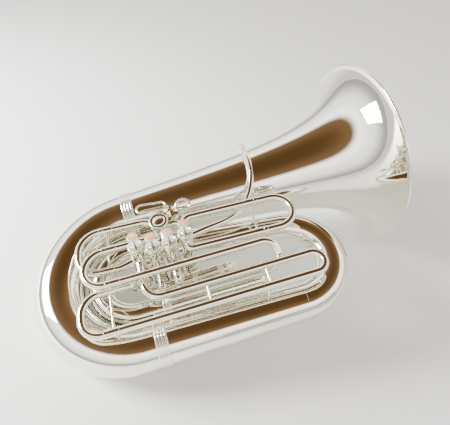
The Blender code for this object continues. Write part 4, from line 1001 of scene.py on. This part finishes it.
def build_first_slide():
    z, mouth, leg = FIRST_LOOP_Z, 0.315, 0.090
    high, low = 0.0595, -0.0270
    half, pivot = (high - low) / 2, Vector((0.27, 0.016, z))
    upper = turned_about([Vector((mouth, high, z)), Vector((0.1415, high, z))], pivot, -2)
    upper.append(into_casing(0, z, upper[-1]))
    lower = turned_about([Vector((mouth, low, z)), Vector((0.1430, low, z))], pivot, -2)
    lower.append(into_casing(0, z, lower[-1]))
    ends = turned_about([Vector((0.303, high, z)), Vector((0.303, low, z))], pivot, -2)
    bow_x = mouth + 0.037
    corners = turned_about(u_turn(mouth - leg, bow_x + half, high, low, z), pivot, -2)
    shift = (corners[1] - corners[0]).normalized() * GAP
    loop("first", [sleeve_tube(upper, (0.020,)), sleeve_tube(lower, (0.012,)), stay(*ends)],
         ["first_valve_tubes"], slide_bow([corner + shift for corner in corners], (half, half), leg),
         "first_valve_slide")


def build_second_slide():
    high, low = SECOND_LOOP_Z
    x, mouth_y, leg = casing_point(1, high).x, -0.0525, 0.0155
    half, sideways = (high - low) / 2, ALONG_X
    tubes = []
    for z in (high, low):
        stop = Vector((x, casing_point(1, z).y - TUBE_STOP, z))
        tubes.append(sleeve_tube([Vector((x, mouth_y, z)), stop], (), up=sideways))
    tubes.append(stay(Vector((x, mouth_y + 0.005, high)), Vector((x, mouth_y + 0.005, low))))
    bow_y = mouth_y - 0.0095 - half
    corners = [Vector((x, y - GAP, z)) for y, z in (
        (mouth_y + leg, high), (bow_y, high), (bow_y, low), (mouth_y + leg, low))]
    loop("second", tubes, ["second_valve_tubes"], slide_bow(corners, (half, half), leg, sideways),
         "second_valve_slide")


def build_third_slide():
    z, mouth, leg = THIRD_LOOP_Z, -0.0370, 0.055
    high, low = 0.0305, -0.0545
    half = (high - low) / 2
    upper = [Vector((mouth, high, z)), Vector((0.067, high, z))]
    upper.append(into_casing(2, z, upper[-1]))
    back = Vector((0.0, -0.104, 0.046))
    bend = (Vector((0, low, z)) - back).length / 2
    far_x = 0.296 + bend
    lower = [Vector((mouth, low, z)), Vector((far_x, low, z)), Vector((far_x, back.y, back.z)),
             Vector((casing_point(2, back.z).x, back.y, back.z))]
    lower.append(into_casing(2, back.z, lower[-1]))
    bow_x = -0.0905
    corners = u_turn(mouth + leg - GAP, bow_x - GAP, high, low, z)
    loop("third", [sleeve_tube(upper, (0.013,)), sleeve_tube(lower, (bend, bend, 0.016))],
         ["third_valve_short_tube", "third_valve_long_tube"], slide_bow(corners, (half, half), leg),
         "third_valve_slide")


def build_fourth_slide():
    z, mouth, leg = FOURTH_LOOP_Z, -0.0555, 0.043
    start_y, low, inner, right = -0.1040, -0.1520, -0.0600, 0.392
    half_right = (start_y - low) / 2
    far_x = right + half_right
    run = [Vector((mouth, low, z)), Vector((far_x, low, z)), Vector((far_x, start_y, z)),
           Vector((casing_point(3, z).x, start_y, z))]
    run.append(into_casing(3, z, run[-1]))
    back = [Vector((mouth, inner, z)), Vector((0.004, inner, z)), Vector((0.004, inner, 0.044))]
    back.append(into_casing(3, 0.044, back[-1]))
    tubes = [sleeve_tube(run, (half_right, half_right, 0.036)), sleeve_tube(back, (0.014, 0.014)),
             stay(Vector((-0.045, inner, z)), Vector((-0.045, low, z)))]
    for x in (0.158, 0.289):
        tubes.append(stay(Vector((x, start_y, z)), Vector((x, low, z)), TUBE_R))
    tubes.append(stay(Vector((0.280, low, z)), Vector((0.280, -0.1770, 0.0)), TUBE_R - 0.0005, 0.0430))
    bow_x = -0.1080
    corners = u_turn(mouth + leg - GAP, bow_x - GAP, inner, low, z)
    loop("fourth", tubes, ["fourth_valve_tubes"], slide_bow(corners, (0.040, 0.040), leg),
         "fourth_valve_slide")


def build_fifth_slide():
    z, mouth, leg = FIFTH_LOOP_Z, -0.0470, 0.028
    high, low = 0.1030, -0.0080
    pivot = Vector((-0.063, 0.047, z))
    upper = turned_about([Vector((mouth, high, z)), Vector((0.050, high, z))], pivot, -3)
    upper.append(into_rotor(z, upper[-1]))
    lower = turned_about([Vector((mouth, low, z)), Vector((-0.012, low, z))], pivot, -3)
    lower.append(into_casing(3, z, lower[-1]))
    ends = turned_about([Vector((-0.038, high, z)), Vector((-0.038, low, z))], pivot, -3)
    bow_x = -0.1065
    corners = turned_about(u_turn(mouth + leg, bow_x, high, low, z), pivot, -3)
    shift = (corners[1] - corners[0]).normalized() * GAP
    loop("fifth", [sleeve_tube(upper, (0.030,)), sleeve_tube(lower, (0.025,)), stay(*ends)],
         ["fifth_valve_tubes"], slide_bow([corner + shift for corner in corners], (0.048, 0.048), leg),
         "fifth_valve_slide")


# ---------------------------------------------------------------- rotary valve and thumb lever

def at_rotor(outline):
    return placed(turned_solid(outline, SIDES_VALVE), ROTOR_AXIS)


def build_rotary_valve():
    low, high = ROTOR_Z
    hole, skirt = SPINDLE_R + GAP, ROTOR_CASING_R + 2 * GAP
    casing = [(ROTOR_CASING_R, low - 0.0040), (ROTOR_CASING_R, high), (ROTOR_BORE_R, high),
              (ROTOR_BORE_R, low), (hole, low), (hole, low - 0.0040)]
    z = 0.066
    stop = into_rotor(z, casing_point(1, z))
    corner = Vector((0.1395, ROTOR_AXIS.y, z))
    to_one = rounded([into_rotor(z, corner), corner, into_casing(0, z, corner)], (0.022,))
    show("rotary_casing", merge(at_rotor(casing), seated(plain_tube([stop, into_casing(1, z, stop)], TUBE_R)),
                                seated(plain_tube(to_one, TUBE_R))), SILVER, "rotor_casing")
    cap = [(ROTOR_CAP_R, high - 0.006), (ROTOR_CAP_R, high + 0.0030), (ROTOR_CAP_R - 0.0008, high + 0.0042),
           (ROTOR_CAP_R - 0.0030, high + 0.0055), (0.0150, high + 0.0055), (0.0138, high + 0.0046),
           (0.0128, high + 0.0046), (0.0120, high + 0.0052), (0.0, high + 0.0055),
           (0.0, high + GAP), (skirt, high + GAP), (skirt, high - 0.006)]
    show("rotary_cap", at_rotor(cap), SILVER_FINE, "rotor_cap")


def build_linkage():
    pin, hub = lever_pin(), LEVER_HINGE
    low, high = ROTOR_ARM_Z - 0.0018, ROTOR_ARM_Z + 0.0018
    along = (pin - hub).normalized()
    start = math.atan2(along.x, -along.y)
    outline = half_circle(hub, 0.0052, 20, start) + half_circle(pin, 0.0036, 14, start + math.pi)
    centre, half_long, half_wide = Vector((0.0790, 0.1150, LEVER_Z)), 0.0350, 0.0115
    reach, tilt = half_long - half_wide, Matrix.Rotation(math.radians(-7), 3, "Z")
    paddle = [centre + tilt @ Vector((x, y, 0.0)) for x, y in slot_outline(reach, half_wide, 10)]
    bar = [Vector((hub.x + 0.001, hub.y - 0.0005, LEVER_Z + 0.0003)),
           Vector((0.1100, 0.1105, LEVER_Z + 0.0003))]
    show("thumb_paddle", merge(plate_solid(outline, low, high),
                               upright_rod(hub.x, hub.y, ROTOR_ARM_Z, LEVER_Z + 0.0030, SHAFT_R),
                               upright_rod(pin.x, pin.y, LINK_Z - 0.0026, ROTOR_ARM_Z, 0.0015),
                               rod_solid(paddle, 0.0026, SIDES_SMALL, closed=True),
                               rod_solid(bar, 0.0028, SIDES_SMALL)), SILVER_FINE, "thumb_lever")


def build_thumb_ring():
    centre = Vector((0.1535, 0.0965, 0.0985))
    tilt = Matrix.Rotation(math.radians(24), 3, ALONG_X)
    turns = [2 * math.pi * k / 72 for k in range(72)]
    ring = [centre + tilt @ Vector((0.0165 * math.cos(t), 0.0150 * math.sin(t), 0.0)) for t in turns]
    near = centre + tilt @ Vector((0.0, -0.0150, 0.0))
    foot = Vector((near.x, 0.0915, 0.0795))
    stalk = rod_solid([foot, foot + Vector((0, 0, 0.004)), near], 0.0028, SIDES_SMALL, up=ALONG_X)
    show("thumb_ring_loop", merge(rod_solid(ring, 0.0030, SIDES_SMALL, closed=True), stalk), SILVER_FINE,
         "thumb_ring")


# ---------------------------------------------------------------- leadpipe

def build_leadpipe():
    path = leadpipe_path()
    show("leadpipe_tube", seated(plain_tube(path, (0.0085, 0.0066), 0.0009)), SILVER, "leadpipe")
    direction = (path[-1] - path[-2]).normalized()
    start = path[-1] - direction * 0.001
    end = path[-1] + direction * (GAP + 0.034)
    outer = [(0.0, 0.0082), (0.007, 0.0082), (0.0085, 0.0072), (0.027, 0.0086), (0.0275, 0.0094),
             (0.0300, 0.0099), (0.0325, 0.0094), (0.0353, 0.0094)]
    socket = tube_solid([start, end], outer, [(0.0, 0.0056), (0.0353, 0.0072)])
    show("receiver_socket_tube", socket, SILVER_FINE, "mouthpiece_receiver")
    centre, across = Vector((0.3620, 0.1040, 0.0605)), Vector((0.0, 0.80, -0.60))
    ring = [centre + Vector((x, 0.0, 0.0)) + across * y for x, y in slot_outline(0.014, 0.012, 15)]
    axis_y = BOTTOM_BOW_BEND + bell_axis().y * centre.x / bell_axis().x
    axis_point = Vector((centre.x, axis_y, bell_axis().z * centre.x / bell_axis().x))
    inward = (axis_point - centre).normalized()
    surface = (axis_point - centre).length - bell_radius(bell_length() - centre.x) + 0.0005
    foot = rod_solid([centre + inward * 0.0115, centre + inward * surface], 0.0036, SIDES_SMALL,
                     up=ALONG_X)
    plate = rod_solid([centre + inward * (surface - 0.0026), centre + inward * surface], 0.0085, SIDES_SMALL,
                      up=ALONG_X)
    show("oval_brace", merge(rod_solid(ring, 0.0032, SIDES_SMALL, closed=True), foot, plate), SILVER_FINE,
         "leadpipe_brace")


# ---------------------------------------------------------------- floor, light and camera

def plain_material(name, colour, roughness):
    material = bpy.data.materials.new(name)
    material.use_nodes = True
    shader = material.node_tree.nodes["Principled BSDF"]
    shader.inputs["Base Color"].default_value = (*colour, 1.0)
    shader.inputs["Roughness"].default_value = roughness
    return material


def build_stage():
    half = FLOOR_HALF
    verts = [(-half, -half, 0.0), (half, -half, 0.0), (half, half, 0.0), (-half, half, 0.0)]
    mesh = bpy.data.meshes.new("floor")
    mesh.from_pydata(verts, [], [(0, 1, 2, 3)])
    mesh.materials.append(plain_material("floor_paper", (0.93, 0.935, 0.93), 0.80))
    floor = bpy.data.objects.new("floor", mesh)
    bpy.context.scene.collection.objects.link(floor)


def area_light(name, place, target, size, power, colour):
    data = bpy.data.lights.new(name, "AREA")
    data.shape = "RECTANGLE"
    data.size, data.size_y = size
    data.energy = power
    data.color = colour
    lamp = bpy.data.objects.new(name, data)
    lamp.location = place
    lamp.rotation_euler = (Vector(target) - Vector(place)).to_track_quat("-Z", "Y").to_euler()
    bpy.context.scene.collection.objects.link(lamp)


def build_world():
    """Soft studio light all round: one smooth gradient by height, dim and a little warm overhead."""
    world = bpy.data.worlds.new("studio")
    world.use_nodes = True
    nodes, links = world.node_tree.nodes, world.node_tree.links
    height = nodes.new("ShaderNodeSeparateXYZ")
    links.new(nodes.new("ShaderNodeTexCoord").outputs["Generated"], height.inputs[0])
    ramp = nodes.new("ShaderNodeValToRGB")
    ramp.color_ramp.interpolation = "EASE"
    while len(ramp.color_ramp.elements) < len(STUDIO_BY_HEIGHT):
        ramp.color_ramp.elements.new(0.5)
    for element, (place, colour) in zip(ramp.color_ramp.elements, STUDIO_BY_HEIGHT):
        element.position = place
        element.color = (*colour, 1.0)
    links.new(height.outputs["Z"], ramp.inputs["Fac"])
    links.new(ramp.outputs["Color"], nodes["Background"].inputs["Color"])
    nodes["Background"].inputs["Strength"].default_value = WORLD_STRENGTH
    bpy.context.scene.world = world


def build_camera():
    data = bpy.data.cameras.new("camera")
    data.sensor_fit = "HORIZONTAL"
    data.sensor_width = 36.0
    data.lens = 36.0 * FOCAL_SHARE
    data.shift_y = CAMERA_SHIFT
    data.clip_end = 100.0
    right, down, ahead = CAMERA_RIGHT, CAMERA_DOWN, CAMERA_AHEAD
    place = Matrix((right, -down, -ahead)).transposed().to_4x4()
    place.translation = CAMERA_PLACE
    camera = bpy.data.objects.new("camera", data)
    camera.matrix_world = BODY_TO_ROW @ place
    bpy.context.scene.collection.objects.link(camera)
    bpy.context.scene.camera = camera


def main():
    build_camera()
    build_world()
    build_stage()
    area_light("key_softbox", BODY_TO_ROW @ KEY_PLACE, KEY_TARGET, KEY_SIZE, KEY_POWER, (1.0, 0.99, 0.97))
    build_bell()
    build_bows()
    build_body_ferrules()
    build_third_branch_and_slide()
    build_guards()
    build_valves()
    build_knuckles()
    build_first_slide()
    build_second_slide()
    build_third_slide()
    build_fourth_slide()
    build_fifth_slide()
    build_rotary_valve()
    build_linkage()
    build_thumb_ring()
    build_leadpipe()
    for node, material in (("rotor", MONEL), ("rotor_stop_arm", SILVER_FINE), ("rotor_link", SILVER_FINE),
                           ("lever_bracket", SILVER_FINE)):
        frame["nodes"][node].material_slots[0].material = material


main()
bpy.context.view_layer.update()
